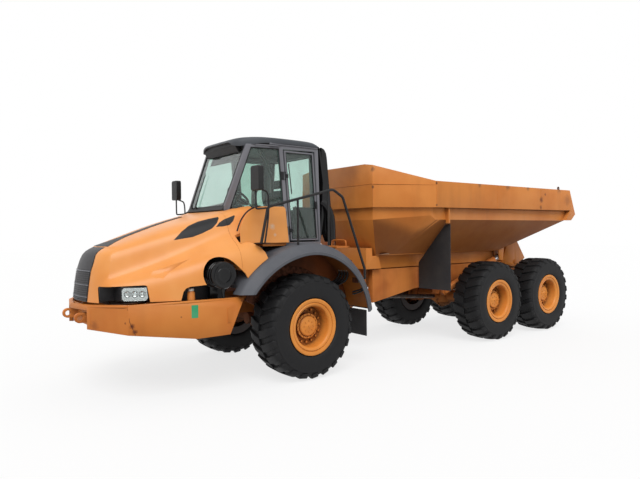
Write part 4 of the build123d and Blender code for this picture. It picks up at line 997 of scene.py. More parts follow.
# ---------------------------------------------------------------- bonnet
@dataclass
class Bonnet:
    """The tilting bonnet with its grille, lamps and vents, and the fixed fairings behind it."""

    body: str = "hood"
    frame: str = "front_frame"
    seam_y: float = -3.286
    seam_gap: float = 0.0015
    wall: float = 0.018
    skirt: tuple[float, float] = (-5.06, 1.275)
    skirt_slope: float = 0.0153
    bow: float = 0.36
    # height and how far forward the middle of the nose reaches
    nose: tuple = ((1.0, -5.096), (1.28, -5.07), (1.5, -5.045), (1.665, -5.019), (1.8, -4.976),
                   (1.875, -4.94), (1.915, -4.903), (1.945, -4.858), (1.974, -4.8), (2.06, -4.755),
                   (2.6, -4.75))
    cleaner: tuple[float, float] = (-3.577, 1.6)
    # y, then (x, z) at the centre, top, crown, side, valley, crest, outer edge and skirt
    sections: tuple = (
        (-5.4, (0, 1.815), (0.16, 1.81), (0.34, 1.79), (0.405, 1.72), (0.43, 1.6), (0.44, 1.56), (0.45, 1.46),
         (0.455, 1.3)),
        (-5.06, (0, 1.908), (0.25, 1.905), (0.43, 1.885), (0.485, 1.79), (0.51, 1.54), (0.525, 1.5),
         (0.55, 1.42), (0.56, 1.32)),
        (-4.8, (0, 1.975), (0.3, 1.97), (0.475, 1.94), (0.548, 1.83), (0.585, 1.59), (0.66, 1.545),
         (0.74, 1.46), (0.775, 1.32)),
        (-4.4, (0, 2.135), (0.36, 2.125), (0.58, 2.08), (0.665, 1.945), (0.7, 1.69), (0.845, 1.645),
         (0.96, 1.56), (1.01, 1.32)),
        (-3.9, (0, 2.315), (0.42, 2.3), (0.69, 2.255), (0.79, 2.12), (0.825, 1.87), (1.05, 1.815),
         (1.19, 1.7), (1.22, 1.32)),
        (-3.5, (0, 2.425), (0.45, 2.41), (0.74, 2.36), (0.85, 2.24), (0.89, 2.05), (1.11, 1.96), (1.27, 1.8),
         (1.3, 1.32)),
        (-3.2, (0, 2.475), (0.46, 2.48), (0.75, 2.485), (0.875, 2.4), (0.93, 2.17), (1.16, 2.03),
         (1.33, 1.86), (1.33, 1.32)),
        (-2.9, (0, 2.5), (0.46, 2.52), (0.79, 2.57), (0.905, 2.49), (0.96, 2.22), (1.2, 2.05), (1.36, 1.87),
         (1.34, 1.32)),
        (-2.5, (0, 2.52), (0.46, 2.53), (0.8, 2.59), (0.91, 2.51), (0.97, 2.24), (1.2, 2.05), (1.36, 1.86),
         (1.34, 1.32)))

    def build(self) -> None:
        """Build every piece of the bonnet."""
        self.skin = self.solid(0)
        self.shell()
        self.fairings()
        self.grille()
        self.lamps()

    def solid(self, inset: float) -> Form:
        """The bonnet's closed shape, shrunk by an inset and not yet cut to length."""
        rows = []
        for y, *half in self.sections:
            left = [(max(x - inset, 0), y, z - inset) for x, z in half]
            left.append((left[-1][0], y, 0.9))
            rows.append(left + [(-x, y, z) for x, y, z in reversed(left) if x > 0])
        form = Form()
        form.sleeve(rows)
        return form.smoothed(3)

    def nose_y(self, x: float, z: float) -> float:
        """How far forward the bowed nose reaches at a place across and up."""
        pairs = zip(self.nose, self.nose[1:])
        low, high = next(((low, high) for low, high in pairs if z <= high[0]), (self.nose[-2], self.nose[-1]))
        share = max(0.0, (z - low[0]) / (high[0] - low[0]))
        corner = 1.6 * min(1.0, max(0.0, (z - 1.48) / 0.1)) * max(0.0, abs(x) - 0.335) ** 2
        return low[1] + (high[1] - low[1]) * share + self.bow * x * x + corner

    def nosed(self, form: Form, back: float) -> Form:
        """Cut a form at the bowed nose and at the skirt.

        Args:
            form: The form.
            back: How far behind the nose's own surface the cut lies.

        Returns:
            The same form.
        """
        ahead = Form()
        across = [0.05 * step - 1.0 for step in range(41)]
        ahead.sleeve([[(x, self.nose_y(x, z) + back, z) for x in across] + [(1.0, -6.0, z), (-1.0, -6.0, z)]
                      for z, _ in self.nose])
        form.without(ahead)
        return form.slice((0, *self.skirt), (0, self.skirt_slope, -1))

    def leaf(self, outline: Sequence[Point]) -> Form:
        """A prism through both sides with a rounded leaf outline."""
        form = Form()
        for hand in (1, -1):
            form.slab(outline, 0, *sorted((hand * 0.55, hand * 1.25)))
        return form

    @property
    def vents(self) -> list[Form]:
        """Prisms with the outlines of the two mesh vents on each side."""
        large = [(-4.022, 2.06), (-3.905, 2.172), (-3.785, 2.254), (-3.644, 2.312), (-3.5, 2.35),
                 (-3.375, 2.378), (-3.367, 2.366), (-3.42, 2.29), (-3.5, 2.215), (-3.64, 2.15), (-3.774, 2.1)]
        small = [(-3.445, 2.236), (-3.385, 2.3), (-3.311, 2.343), (-3.16, 2.402), (-3.152, 2.392),
                 (-3.19, 2.322), (-3.255, 2.262), (-3.345, 2.243)]
        return [self.leaf(large), self.leaf(small)]

    @property
    def cleaner_arch(self) -> Form:
        """A cutter for the arch round the air cleaner and the pointed opening behind it."""
        form = Form()
        form.rod((0.45, *self.cleaner), (1.6, *self.cleaner), 0.234, 56)
        form.both_sides()
        behind = Form()
        behind.slab([(-3.7, 1.2), (-3.7, 1.6), (-3.44, 1.782), (-3.41, 1.768), (-3.245, 1.6), (-3.05, 1.2)],
                    0, 0.45, 1.6)
        return form.without(behind.both_sides(), "UNION")

    @staticmethod
    def wheel_arch(radius: float) -> Form:
        """A cutter for the opening over the front wheels and their fenders."""
        form = Form()
        form.rod((-2, *FRONT_AXLE), (2, *FRONT_AXLE), radius, 96)
        return leant(form)

    def shell(self) -> None:
        """The tilting shell with its lamp recesses, arches and vents, and the dark band on its top."""
        form = self.nosed(self.skin.copy().slice((0, self.seam_y - self.seam_gap, 0), (0, 1, 0)), 0)
        inner = self.nosed(self.solid(self.wall), self.wall).slice((0, -3.31, 0), (0, 1, 0))
        inner.move(list(inner.mesh.verts), Matrix.Translation((0, 0, -0.002)))
        form.without(inner)
        below = Form()
        below.slab([(-4.115, 1.2), (-4.06, 1.4), (-4.03, 1.44), (-3.98, 1.462), (-3.78, 1.478), (-3.349, 1.5),
                    (-3.349, 1.2)], 0, 0.45, 1.6)
        recess = Form()
        recess.slab([(-4.955, 1.2), (-4.945, 1.47), (-4.93, 1.48), (-4.485, 1.497), (-4.46, 1.488),
                     (-4.425, 1.2)], 0, 0.5, 1.4)
        form.cut_by([self.cleaner_arch, below.both_sides(), recess.both_sides(), self.wheel_arch(1.242),
                     *self.vents])
        form.finish("bonnet_shell", self.body, Finish.HOOD, 0, 42, ("hood",))
        self.vent_meshes("bonnet_vent_mesh", self.body, self.seam_y - self.seam_gap, 1)
        strip = Form()
        half = [(0.4, -4.9), (0.33, -4.76), (0.205, -4.62), (0.115, -4.46), (0.07, -3.6)]
        strip.slab(mirrored(half), 2, 1.7, 2.6)
        band = self.solid(-0.003).without(self.solid(0.004)).without(strip, "INTERSECT")
        self.nosed(band, 0.001).finish("bonnet_top_band", self.body, Finish.TRIM, 0, 40)

    def vent_meshes(self, name: str, rider: str, seam: float, hand: int) -> None:
        """Fill the vents' openings on one side of the seam with a dark mesh.

        Args:
            name: The start of the pieces' names.
            rider: The body that they move with.
            seam: Where the kept side begins.
            hand: 1 to keep what lies ahead of it, or -1 for what lies behind.
        """
        sheet = self.skin.copy().slice((0, seam, 0), (0, hand, 0)).without(self.solid(0.006))
        for number, vent in enumerate(self.vents):
            mesh = sheet.copy().without(vent, "INTERSECT")
            if mesh.mesh.faces:
                mesh.finish(f"{name}_{number}", rider, Finish.TRIM, 0, 40)

    def fairings(self) -> None:
        """The fixed skins that carry the bonnet's surface on, and the strip behind the seam."""
        form = self.skin.copy().slice((0, self.seam_y + self.seam_gap, 0), (0, -1, 0))
        form.slice((0, -2.86, 0), (0, 1, 0)).slice((0, 0, 1.302), (0, 0, -1))
        form.without(self.solid(0.02))
        cab, arc = Form(), Form()
        plan = [(0.645, -3.205), (0.645, -3.06), (0.72, -3.06), (0.72, -2.4)]
        cab.slab(mirrored(plan), 2, 1.0, 2.7)
        arc.slab([(-3.235, 2.02), (-3.235, 2.24), (-3.15, 2.375), (-3.06, 2.46), (-2.9, 2.62), (-2.5, 2.62),
                  (-2.5, 2.02)], 0, 1.0, 1.6)
        corner = Form()
        corner.slab([(-3.14, 2.2), (-3.13, 2.03), (-3.06, 2.005), (-2.985, 1.955), (-2.925, 1.88),
                     (-2.89, 1.78), (-2.7, 1.78), (-2.7, 2.2)], 0, 1.165, 1.6)
        form.cut_by([cab, arc.both_sides(), corner.both_sides(), self.wheel_arch(1.225), self.cleaner_arch,
                     *self.vents])
        form.finish("bonnet_fairings", self.frame, Finish.HOOD, 0, 42)
        self.vent_meshes("fairing_vent_mesh", self.frame, self.seam_y + self.seam_gap, -1)
        backing = self.solid(0.02).slice((0, -3.305, 0), (0, -1, 0)).slice((0, -3.272, 0), (0, 1, 0))
        backing.slice((0, 0, 1.62), (0, 0, -1)).without(self.solid(0.026))
        backing.cut_by([self.wheel_arch(1.25), self.cleaner_arch])
        backing.finish("bonnet_seam_backing", self.frame, Finish.HOOD, 0, 42)

    def nose_plate(self, form: Form, span: Point, inset: float, out: float, depth: float) -> None:
        """Add a bowed plate on the nose.

        Args:
            form: What it is added to.
            span: Its lowest and highest place.
            inset: How much narrower it is than the grille on each side.
            out: How far its back stands off the nose.
            depth: Its thickness.
        """
        steps = max(1, round((span[1] - span[0]) / 0.025))
        rows = []
        for step in range(steps + 1):
            z = span[0] + (span[1] - span[0]) * step / steps
            half = 0.335 - 0.42 * max(0.0, z - 1.8) - inset
            line = [half * (place / 6 - 1) for place in range(13)]
            rows.append([(x, self.nose_y(x, z) - out - depth, z) for x in line]
                        + [(x, self.nose_y(x, z) - out, z) for x in reversed(line)])
        form.sleeve(rows)

    def grille(self) -> None:
        """The bowed nose panel with three groups of louvres between paler bars."""
        frame, louvres, bars = Form(), Form(), Form()
        self.nose_plate(frame, (1.277, 1.976), 0.0, -0.004, 0.008)
        self.nose_plate(louvres, (1.684, 1.968), 0.01, 0.003, 0.005)
        for low, high, count in ((1.288, 1.33, 2), (1.346, 1.482, 5), (1.5, 1.66, 6)):
            pitch = (high - low) / count
            for row in range(count):
                self.nose_plate(louvres, (low + pitch * row, low + pitch * (row + 0.62)), 0.014, 0.003, 0.01)
        for z in (1.338, 1.491, 1.672):
            self.nose_plate(bars, (z - 0.005, z + 0.005), 0.006, 0.003, 0.014)
        frame.finish("grille_frame", self.body, Finish.TRIM, 0, 30, ("grille",))
        louvres.finish("grille_louvres", self.body, Finish.GRILLE, 0.002, 30)
        bars.finish("grille_bars", self.body, Finish.CHARCOAL, 0.001, 30)

    def lamps(self) -> None:
        """The headlamps deep in their recesses: housings, reflectors and lenses."""
        housing, bowls, lens = Form(), Form(), Form()
        plan = [(0.56, -4.755), (0.786, -4.738), (0.932, -4.452), (0.7, -4.445)]
        housing.slab(plan, 2, 1.3, 1.48)
        housing.slab([(-4.94, 1.295), (-4.44, 1.295), (-4.44, 1.492), (-4.94, 1.482)], 0, 0.5, 0.56)
        face = Vector((0.932 - 0.786, -4.452 + 4.738, 0)).normalized()
        out = Vector((face.y, -face.x, 0))
        start = Vector((0.786, -4.738, 1.388))
        for step in (0.075, 0.165, 0.255):
            bowl = start + face * step
            bowls.lathe([(0.004, 0.02), (0.01, 0.034), (0.026, 0.042), (0.026, 0.046), (0.0, 0.046)], bowl,
                        out, 24)
            bowls.ball(bowl + out * 0.012, (0.015, 0.015, 0.015), 8)

        def plate(form: Form, near: float, far: float, low: float, high: float) -> None:
            """Add a plate over the lamp between two depths and two heights."""
            corners = [(0.03, low), (0.3, low), (0.322, low + 0.03), (0.306, high), (0.03, high),
                       (0.01, high - 0.03), (0.01, low + 0.03)]
            form.sleeve([[start + face * a + out * d + UP * h for a, h in corners] for d in (near, far)])

        plate(bowls, 0.001, 0.003, -0.082, 0.08)
        plate(lens, 0.03, 0.036, -0.084, 0.082)
        housing.both_sides().finish("lamp_housings", self.body, Finish.TRIM, 0.004, 30, ("headlights",))
        bowls.both_sides().finish("lamp_reflectors", self.body, Finish.MIRROR, 0, 40)
        lens.both_sides().finish("lamp_lenses", self.body, Finish.LENS, 0.003, 30)


# ---------------------------------------------------------------- front frame
@dataclass
class FrontEnd:
    """The front frame's own pieces: chassis, bumper, fenders, cowls and air cleaner."""

    body: str = "front_frame"
    axle: tuple[float, float] = FRONT_AXLE
    cleaner: tuple[float, float] = (-3.543, 1.592)
    arch_start: float = 7
    arch_span: float = 146

    def build(self) -> None:
        """Build everything on the front frame but the cab."""
        # The front axle and the wheel-house panels take the wheel-house finish, whose dark tone is painted
        # shade.
        for node, finish, bevel in (("front_chassis", Finish.CHASSIS, 0.005),
                                    ("front_axle", Finish.HOUSE, 0.004), ("engine", Finish.CAST, 0.01),
                                    ("wheel_house_panels", Finish.HOUSE, 0.003),
                                    ("front_mud_flaps", Finish.FLAP, 0.002)):
            softened(node, self.body, finish, bevel)
        self.bumper()
        self.fenders()
        self.cowls()
        self.air_cleaner()

    def bumper(self) -> None:
        """The wrap-round bumper with its rolled lip, corner seams and sticker, and a dark rusty plate at the
        back of the tow recess whose darkness paints the recess's shade.
        """
        softened("bumper", self.body, Finish.FRAME, 0.008)
        lip = Form()
        half = [(1.286, -3.285, 1.27), (1.14, -4.06, 1.262), (1.0, -4.728, 1.252), (0.96, -4.76, 1.25),
                (0.45, -5.044, 1.226), (0.41, -5.056, 1.224)]
        lip.pipe(mirrored(half), 0.019, 10, straight=True)
        lip.finish("bumper_rolled_lip", self.body, Finish.FRAME, 0, 50)
        seam = Form()
        seam.pipe([(1.008, -4.742, 1.25), (1.0235, -4.717, 1.06), (1.0365, -4.652, 0.897)], 0.0035, 6,
                  straight=True)
        seam.both_sides().finish("bumper_seams", self.body, Finish.RUSTY, 0, 50)
        sticker = Form()
        sticker.slab([(-3.97, 1.055), (-3.885, 1.055), (-3.885, 1.222), (-3.97, 1.222)], 0, 1.0, 1.4)
        for vert in sticker.mesh.verts:
            face_x = 1.02 + (vert.co.y + 4.735) * (1.31 - 1.02) / (4.735 - 3.265)
            vert.co.x = face_x + (0.0012 if vert.co.x > 1.2 else 0.0)
        sticker.finish("bumper_sticker", self.body, Finish.STICKER, 0, 40)
        # Painted shade: a dark plate at the back of the tow recess.
        shade_plate = Form()
        shade_plate.block((-0.43, 0.43), (-4.998, -4.994), (0.962, 1.198))
        shade_plate.finish("tow_recess_shade_plate", self.body, Finish.RUSTY, 0, 40)

    def fenders(self) -> None:
        """The moulded fenders with their strips, bolts and liners, and the panels behind the air cleaner."""
        axle_y, axle_z = self.axle
        profile = [(0.8, 1.22), (1.3, 1.22), (1.35, 1.217), (1.378, 1.204), (1.396, 1.182), (1.45, 1.108),
                   (1.456, 1.098), (1.47, 1.092), (1.47, 1.056), (1.464, 1.05), (1.446, 1.05), (1.442, 1.056),
                   (1.442, 1.084), (1.43, 1.1), (1.38, 1.166), (1.364, 1.184), (1.34, 1.194), (0.8, 1.196)]
        start = Matrix.Rotation(math.radians(self.arch_start), 3, "X") @ LENGTHWISE
        span = math.radians(self.arch_span)
        form = Form()
        form.lathe(profile, (0, axle_y, axle_z), ACROSS, 56, span, True, start)
        form.close_ends()
        below = Form()
        below.block((0, 2), (-4.6, axle_y), (0, 1.3205))
        leant(form).without(below)
        inner = Form()
        inner.block((0, 1.19), (-4.6, -3.3), (1.0, 2.2))
        form.without(inner)
        form.both_sides().finish("front_fender_mouldings", self.body, Finish.FENDER, 0.003, 32,
                                 ("front_fenders",))
        back = Form()
        back.slab([(-3.96, 1.203), (-3.99, 1.42), (-3.78, 1.78), (-3.45, 1.9), (-3.33, 1.78), (-3.33, 1.203)],
                  0, 0.85, 0.87)
        back.both_sides().finish("cleaner_bay_panels", self.body, Finish.TRIM, 0.002, 32)
        strip = Form()
        strip.lathe([(0.802, 1.193), (1.33, 1.191), (1.33, 1.181), (0.802, 1.183)], (0, axle_y, axle_z),
                    ACROSS, 24, math.radians(60), True, Matrix.Rotation(math.radians(8), 3, "X") @ LENGTHWISE)
        strip.close_ends().both_sides().finish("fender_inner_strips", self.body, Finish.FRAME, 0, 40)
        bolts = Form()
        for degrees in range(16, 150, 19):
            turn = Matrix.Rotation(math.radians(degrees), 3, "X")
            foot = Vector((0.84, axle_y, axle_z)) + turn @ LENGTHWISE * 1.219
            bolts.rod(foot, foot + turn @ LENGTHWISE * 0.008, 0.012, 8)
        leant(bolts).both_sides().finish("fender_bolts", self.body, Finish.TRIM, 0.001, 40)
        liner = Form()
        liner.lathe([(0.7705, 0.52), (0.7705, 0.868), (0.79, 0.868), (0.79, 0.52)], (0, axle_y, axle_z),
                    ACROSS, 48, span, True, start)
        liner.close_ends().both_sides().finish("wheel_house_liners", self.body, Finish.RUSTY, 0, 40)

    def cowls(self) -> None:
        """The boxes beside the cab, with their curved front edges."""
        axle_y, axle_z = self.axle
        form = Form()
        arc = [(-2.47, 2.526), (-2.86, 2.526), (-2.96, 2.506), (-3.06, 2.454), (-3.14, 2.375), (-3.2, 2.275),
               (-3.235, 2.17)]
        form.slab([(-3.235, 2.0), (-2.425, 2.0), (-2.442, 2.496), *arc], 0, 0.7, 1.16)
        for vert in form.mesh.verts:
            if vert.co.x > 1.1:
                vert.co.x -= 0.055 * max(0.0, vert.co.z - 2.1) / 0.4
            elif vert.co.y < -2.9:
                vert.co.y += 0.3
        gasket = Form()
        gasket.pipe([(1.09, y - 0.012, z + 0.004) for y, z in arc[1:]], 0.011, 8)
        gasket.both_sides().finish("side_cowl_gaskets", self.body, Finish.TRIM, 0, 40)
        form.both_sides().finish("side_cowl_boxes", self.body, Finish.HOOD, 0.022, 30, ("side_cowls",))
        under = Form()
        under.block((0.802, 1.12), (-2.85, -2.45), (1.955, 2.001))
        cut = Form()
        cut.rod((-2, axle_y, axle_z), (2, axle_y, axle_z), 1.226, 72)
        under.without(cut)
        under.both_sides().finish("side_cowl_sills", self.body, Finish.FRAME, 0.004, 30)
        trims = Form()
        trims.block((0.8, 1.095), (-2.4262, -2.4225), (2.03, 2.46))
        trims.both_sides().finish("side_cowl_seals", self.body, Finish.TRIM, 0, 30)

    def air_cleaner(self) -> None:
        """The ribbed air cleaner drum with its end cover, dust valve and clips, and the washer flask."""
        y, z = self.cleaner
        form = Form()
        profile = [(0.9, 0), (0.9, 0.172), (0.93, 0.178)]
        for rib in range(5):
            at = 0.96 + 0.055 * rib
            profile += [(at, 0.178), (at + 0.006, 0.185), (at + 0.018, 0.185), (at + 0.024, 0.178)]
        profile += [(1.24, 0.186), (1.262, 0.183), (1.278, 0.17), (1.282, 0.154), (1.276, 0.142),
                    (1.27, 0.128), (1.27, 0.104), (1.276, 0.096), (1.28, 0.084), (1.276, 0.072),
                    (1.272, 0.052), (1.272, 0)]
        form.lathe(profile, (0, y, z), ACROSS, 64, closed=False)
        for turn in range(24):
            spoke = Matrix.Rotation(math.tau * turn / 24, 3, "X") @ UP
            foot = Vector((1.269, y, z))
            form.rod(foot + spoke * 0.104, foot + spoke * 0.14, 0.004, 6)
        for turn in range(4):
            spoke = Matrix.Rotation(math.tau * (turn + 0.5) / 4, 3, "X") @ UP
            foot = Vector((1.225, y, z)) + spoke * 0.18
            form.rod(foot, foot + ACROSS * 0.045, 0.009, 8)
        form.rod((1.225, y, z - 0.165), (1.228, y, z - 0.225), 0.036, 20, 0.022)
        form.rod((1.228, y, z - 0.22), (1.24, y, z - 0.3), 0.022, 16, 0.012)
        form.block((0.4, 0.955), (y - 0.055, y + 0.055), (1.151, 1.198))
        form.block((0.902, 0.958), (y - 0.055, y + 0.055), (1.151, 1.44))
        form.finish("air_cleaner_drum", self.body, Finish.GLOSS, 0, 32, ("air_cleaner",))
        flask, cap = Form(), Form()
        flask.lathe([(0, 0), (0, 0.05), (0.16, 0.05), (0.185, 0.03), (0.185, 0)], (1.075, -3.93, 1.215), UP,
                    24, closed=False)
        flask.block((0.36, 1.09), (-3.96, -3.9), (1.199, 1.216))
        cap.lathe([(0, 0), (0, 0.036), (0.03, 0.038), (0.036, 0.028), (0.036, 0)], (1.075, -3.93, 1.398), UP,
                  24, closed=False)
        flask.finish("washer_flask", self.body, Finish.FRAME, 0, 40)
        cap.finish("washer_flask_cap", self.body, Finish.WHITE, 0, 40)


# ---------------------------------------------------------------- cab
@dataclass
class Cab:
    """The cab: frame, roof, glass, door, seat, controls and outside fittings."""

    body: str = "front_frame"
    door: str = "cab_door"
    screen_low: tuple[float, float] = (-3.255, 2.52)
    screen_high: tuple[float, float] = (-2.868, 3.474)
    hinge_heights: tuple[float, float] = (3.02, 2.18)
    side_window: tuple = ((-3.165, 2.5), (-2.238, 2.525), (-2.316, 3.432), (-2.802, 3.432))
    far_window: tuple = ((-2.075, 2.06), (-1.6, 2.06), (-1.69, 3.395), (-2.19, 3.395))
    rear_window: tuple = ((-0.57, 2.51), (0.57, 2.51), (0.57, 3.39), (-0.57, 3.39))
    door_edge: tuple = ((-2.108, 2.022), (-1.573, 2.022), (-1.662, 3.408), (-2.221, 3.408))

    def build(self) -> None:
        """Build every piece of the cab."""
        softened("cab_floor", self.body, Finish.TRIM, 0.004, True)
        self.frame()
        self.panes()
        self.roof()
        self.seals()
        self.door_fittings()
        self.inside()
        self.seat()
        self.outside()

    @property
    def slope(self) -> tuple[Vector, Vector, Vector]:
        """The windshield's foot, its direction upwards and its direction outwards."""
        foot = Vector((0, *self.screen_low))
        along = (Vector((0, *self.screen_high)) - foot).normalized()
        return foot, along, Vector((0, -along.z, along.y))

    @staticmethod
    def hinge_lean(z: float) -> float:
        """How far the door's hinge line lies back from its foot at a height."""
        return (z - 2.01) * -0.115 / 1.41

    def screen(self, form: Form, half: float, low: float, high: float, back: float, front: float) -> None:
        """Add a plate parallel to the windshield.

        Args:
            form: What it is added to.
            half: Half of its width.
            low: Where it starts on the slope.
            high: Where it ends on the slope.
            back: How far its back lies outside the windshield's plane.
            front: How far its front does.
        """
        foot, along, out = self.slope
        corners = ((-half, low), (half, low), (half, high), (-half, high))
        form.sleeve([[foot + along * s + out * d + ACROSS * x for x, s in corners] for d in (back, front)])

    def frame(self) -> None:
        """The cab's welded frame with its window openings, and the door's slim frame."""
        form = node_form("cab_frame")
        sides, screen = Form(), Form()
        sides.slab(self.side_window, 0, 0.6, 0.8)
        sides.both_sides().slab(self.far_window, 0, -0.8, -0.6)
        self.screen(screen, 0.7, 0.012, 0.985, -0.2, 0.1)
        form.without(sides).without(screen).tapered()
        form.finish("cab_frame_shell", self.body, Finish.CHARCOAL, 0.008, 28, ("cab_frame",))
        door = Form()
        self.ring(door, self.door_edge, 0, 0.704, 0.75, 0.026)
        door.finish("cab_door_shell", self.door, Finish.CHARCOAL, 0.006, 28, ("cab_door",))

    def panes(self) -> None:
        """The windshield, side, rear and door panes."""
        screen, fixed, door = Form(), Form(), Form()
        self.screen(screen, 0.704, 0.008, 0.99, -0.014, -0.008)
        screen.slab(self.rear_window, 1, -1.556, -1.55)
        screen.tapered().finish("windshield_and_rear_panes", self.body, Finish.GLASS, 0.0, 30,
                                ("cab_windows",))
        fixed.slab([(-3.172, 2.494), (-2.23, 2.519), (-2.31, 3.438), (-2.797, 3.438)], 0, 0.722, 0.728)
        fixed.both_sides().slab(self.far_window, 0, -0.728, -0.722)
        fixed.tapered().finish("side_panes", self.body, Finish.SIDE_GLASS, 0.0, 30)
        door.slab([(-2.096, 2.034), (-1.586, 2.034), (-1.674, 3.396), (-2.209, 3.396)], 0, 0.724, 0.73)
        door.finish("door_pane", self.door, Finish.SIDE_GLASS, 0.0, 30, ("door_window",))

    def roof(self) -> None:
        """The flat-domed roof shell with its drooping visor, and the lining under it."""
        # y, half width and height of the crown, half width of the rim, height of the rim and of the middle
        stations = [(-2.975, 0.38, 3.52, 0.44, 3.47, 3.522), (-2.96, 0.47, 3.545, 0.53, 3.445, 3.55),
                    (-2.905, 0.54, 3.572, 0.59, 3.44, 3.578), (-2.8, 0.62, 3.586, 0.66, 3.452, 3.59),
                    (-2.65, 0.69, 3.594, 0.72, 3.49, 3.598), (-2.5, 0.73, 3.598, 0.757, 3.503, 3.6),
                    (-2.15, 0.742, 3.598, 0.769, 3.506, 3.6), (-1.8, 0.742, 3.595, 0.769, 3.506, 3.597),
                    (-1.63, 0.735, 3.583, 0.768, 3.506, 3.588), (-1.545, 0.7, 3.545, 0.755, 3.5, 3.56)]
        rows = []
        for y, crown, shoulder, rim, low, top in stations:
            half = [(0, top), (crown * 0.5, top), (crown - 0.045, (top + shoulder) / 2),
                    (crown, shoulder - 0.008), (rim - 0.004, shoulder - 0.032), (rim, low + 0.022),
                    (rim - 0.003, low)]
            rows.append([(-x, y, z) for x, z in reversed(half[1:])] + [(x, y, z) for x, z in half])
        form = Form()
        form.sleeve(rows, closed=False)
        if sum(face.normal.z for face in form.mesh.faces) < 0:
            bmesh.ops.reverse_faces(form.mesh, faces=form.mesh.faces)
        form.smoothed(2).walled(0.026)
        form.finish("roof_shell", self.body, Finish.ROOF, 0, 50, ("cab_roof",))
        lining = Form()
        lining.slab([(-0.735, -1.572), (0.735, -1.572), (0.735, -2.48), (0.6, -2.795), (-0.6, -2.795),
                     (-0.735, -2.48)], 2, 3.4745, 3.545)
        front = [(0.6, -2.78), (0.52, -2.895), (0.42, -2.945)]
        lining.slab(mirrored(front), 2, 3.452, 3.52)
        lining.slab([(-2.957, 3.48), (-2.885, 3.362), (-2.8, 3.362), (-2.8, 3.47)], 0, -0.51, 0.51)
        lining.finish("roof_lining", self.body, Finish.TRIM, 0.006, 30)
        shade = Form()
        shade.slab([(-2.8, 3.25), (-2.79, 3.25), (-2.708, 3.47), (-2.718, 3.47)], 0, -0.585, 0.585)
        shade.finish("sun_strip", self.body, Finish.TRIM, 0.001, 30)
        gutter = Form()
        gutter.block((0.75, 0.766), (-2.48, -1.58), (3.482, 3.494))
        gutter.block((0.735, 0.752), (-2.48, -1.58), (3.47, 3.51))
        gutter.both_sides().finish("roof_gutters", self.body, Finish.CHARCOAL, 0.003, 30)

    @staticmethod
    def ring(form: Form, outline: Sequence[Point], axis: int, low: float, high: float, width: float) -> None:
        """Add a flat frame inside an outline.

        Args:
            form: What it is added to.
            outline: Its outer corners, as slab takes them.
            axis: 0, 1 or 2 for a thickness along X, Y or Z.
            low: Where it starts on that axis.
            high: Where it ends on that axis.
            width: Its width in its own plane.
        """
        verts = form.slab(outline, axis, low, high)
        around = list(dict.fromkeys(face for vert in verts for face in vert.link_faces))
        faces = [face for face in around if len(face.verts) == len(outline) and abs(face.normal[axis]) > 0.9]
        bmesh.ops.recalc_face_normals(form.mesh, faces=around)
        bmesh.ops.inset_region(form.mesh, faces=faces, thickness=width, use_even_offset=True)
        inner = [face for face in faces if face.is_valid]
        edges = [edge for face in inner for edge in face.edges]
        bmesh.ops.delete(form.mesh, geom=inner, context="FACES_ONLY")
        bmesh.ops.bridge_loops(form.mesh, edges=edges)

    def seals(self) -> None:
        """Rubber seals round the panes of the cab and the door."""
        fixed = Form()
        for low, high in ((0.7495, 0.753), (-0.753, -0.7495)):
            self.ring(fixed, self.side_window, 0, low, high, 0.016)
        self.ring(fixed, self.far_window, 0, -0.753, -0.7495, 0.016)
        self.ring(fixed, self.rear_window, 1, -1.56, -1.524, 0.022)
        for low, high in ((0.012, 0.036), (0.955, 0.985)):
            self.screen(fixed, 0.7, low, high, -0.01, 0.004)
        edges = Form()
        self.screen(edges, 0.7, 0.036, 0.955, -0.01, 0.004)
        middle = Form()
        self.screen(middle, 0.678, 0.03, 0.96, -0.02, 0.014)
        fixed.take(edges.without(middle))
        fixed.tapered().finish("window_seals", self.body, Finish.TRIM, 0.001, 30)
        moving = Form()
        self.ring(moving, [(-2.083, 2.047), (-1.599, 2.047), (-1.687, 3.383), (-2.196, 3.383)], 0, 0.736,
                  0.748, 0.01)
        moving.finish("door_seal", self.door, Finish.TRIM, 0.001, 30)

    def door_fittings(self) -> None:
        """The door's hinges and handle, its inner rails and the hinge plates on the cab."""
        plates, bar = Form(), Form()
        for z in self.hinge_heights:
            lean = self.hinge_lean(z)
            plates.rod((0.762, -2.1243 + lean, z - 0.045), (0.762, -2.1317 + lean, z + 0.045), 0.0075, 16)
            plates.block((0.751, 0.757), (-2.11 + lean, -2.066 + lean), (z - 0.03, z + 0.03))
            plates.block((0.7555, 0.7595), (-2.128 + lean, -2.098 + lean), (z - 0.026, z + 0.026))
            for step in (0.02, -0.02):
                plates.rod((0.7565, -2.095 + lean, z + step), (0.763, -2.095 + lean, z + step), 0.007, 6)
        plates.block((0.751, 0.758), (-1.64, -1.6), (2.52, 2.64))
        plates.rod((0.758, -1.62, 2.615), (0.764, -1.62, 2.615), 0.013, 14)
        plates.pipe([(0.755, -1.632, 2.54), (0.768, -1.632, 2.545), (0.768, -1.628, 2.59),
                     (0.755, -1.628, 2.6)], 0.006, 8)
        plates.finish("door_hinges_and_handle", self.door, Finish.TRIM, 0.0015, 35)
        bar.rod((0.7, -1.96, 2.11), (0.7, -1.985, 2.56), 0.011, 12)
        bar.rod((0.7, -2.055, 2.75), (0.7, -2.11, 3.22), 0.01, 12)
        bar.block((0.704, 0.712), (-2.04, -1.625), (2.09, 2.545))
        bar.finish("door_inner_rails", self.door, Finish.TRIM, 0.002, 35)
        hinges = Form()
        for z in self.hinge_heights:
            lean = self.hinge_lean(z)
            for step in (-0.062, 0.047):
                hinges.rod((0.762, -2.128 + lean, z + step), (0.762, -2.129 + lean, z + step + 0.015), 0.012,
                           14)
            hinges.block((0.7505, 0.757), (-2.205 + lean, -2.15 + lean), (z - 0.062, z + 0.062))
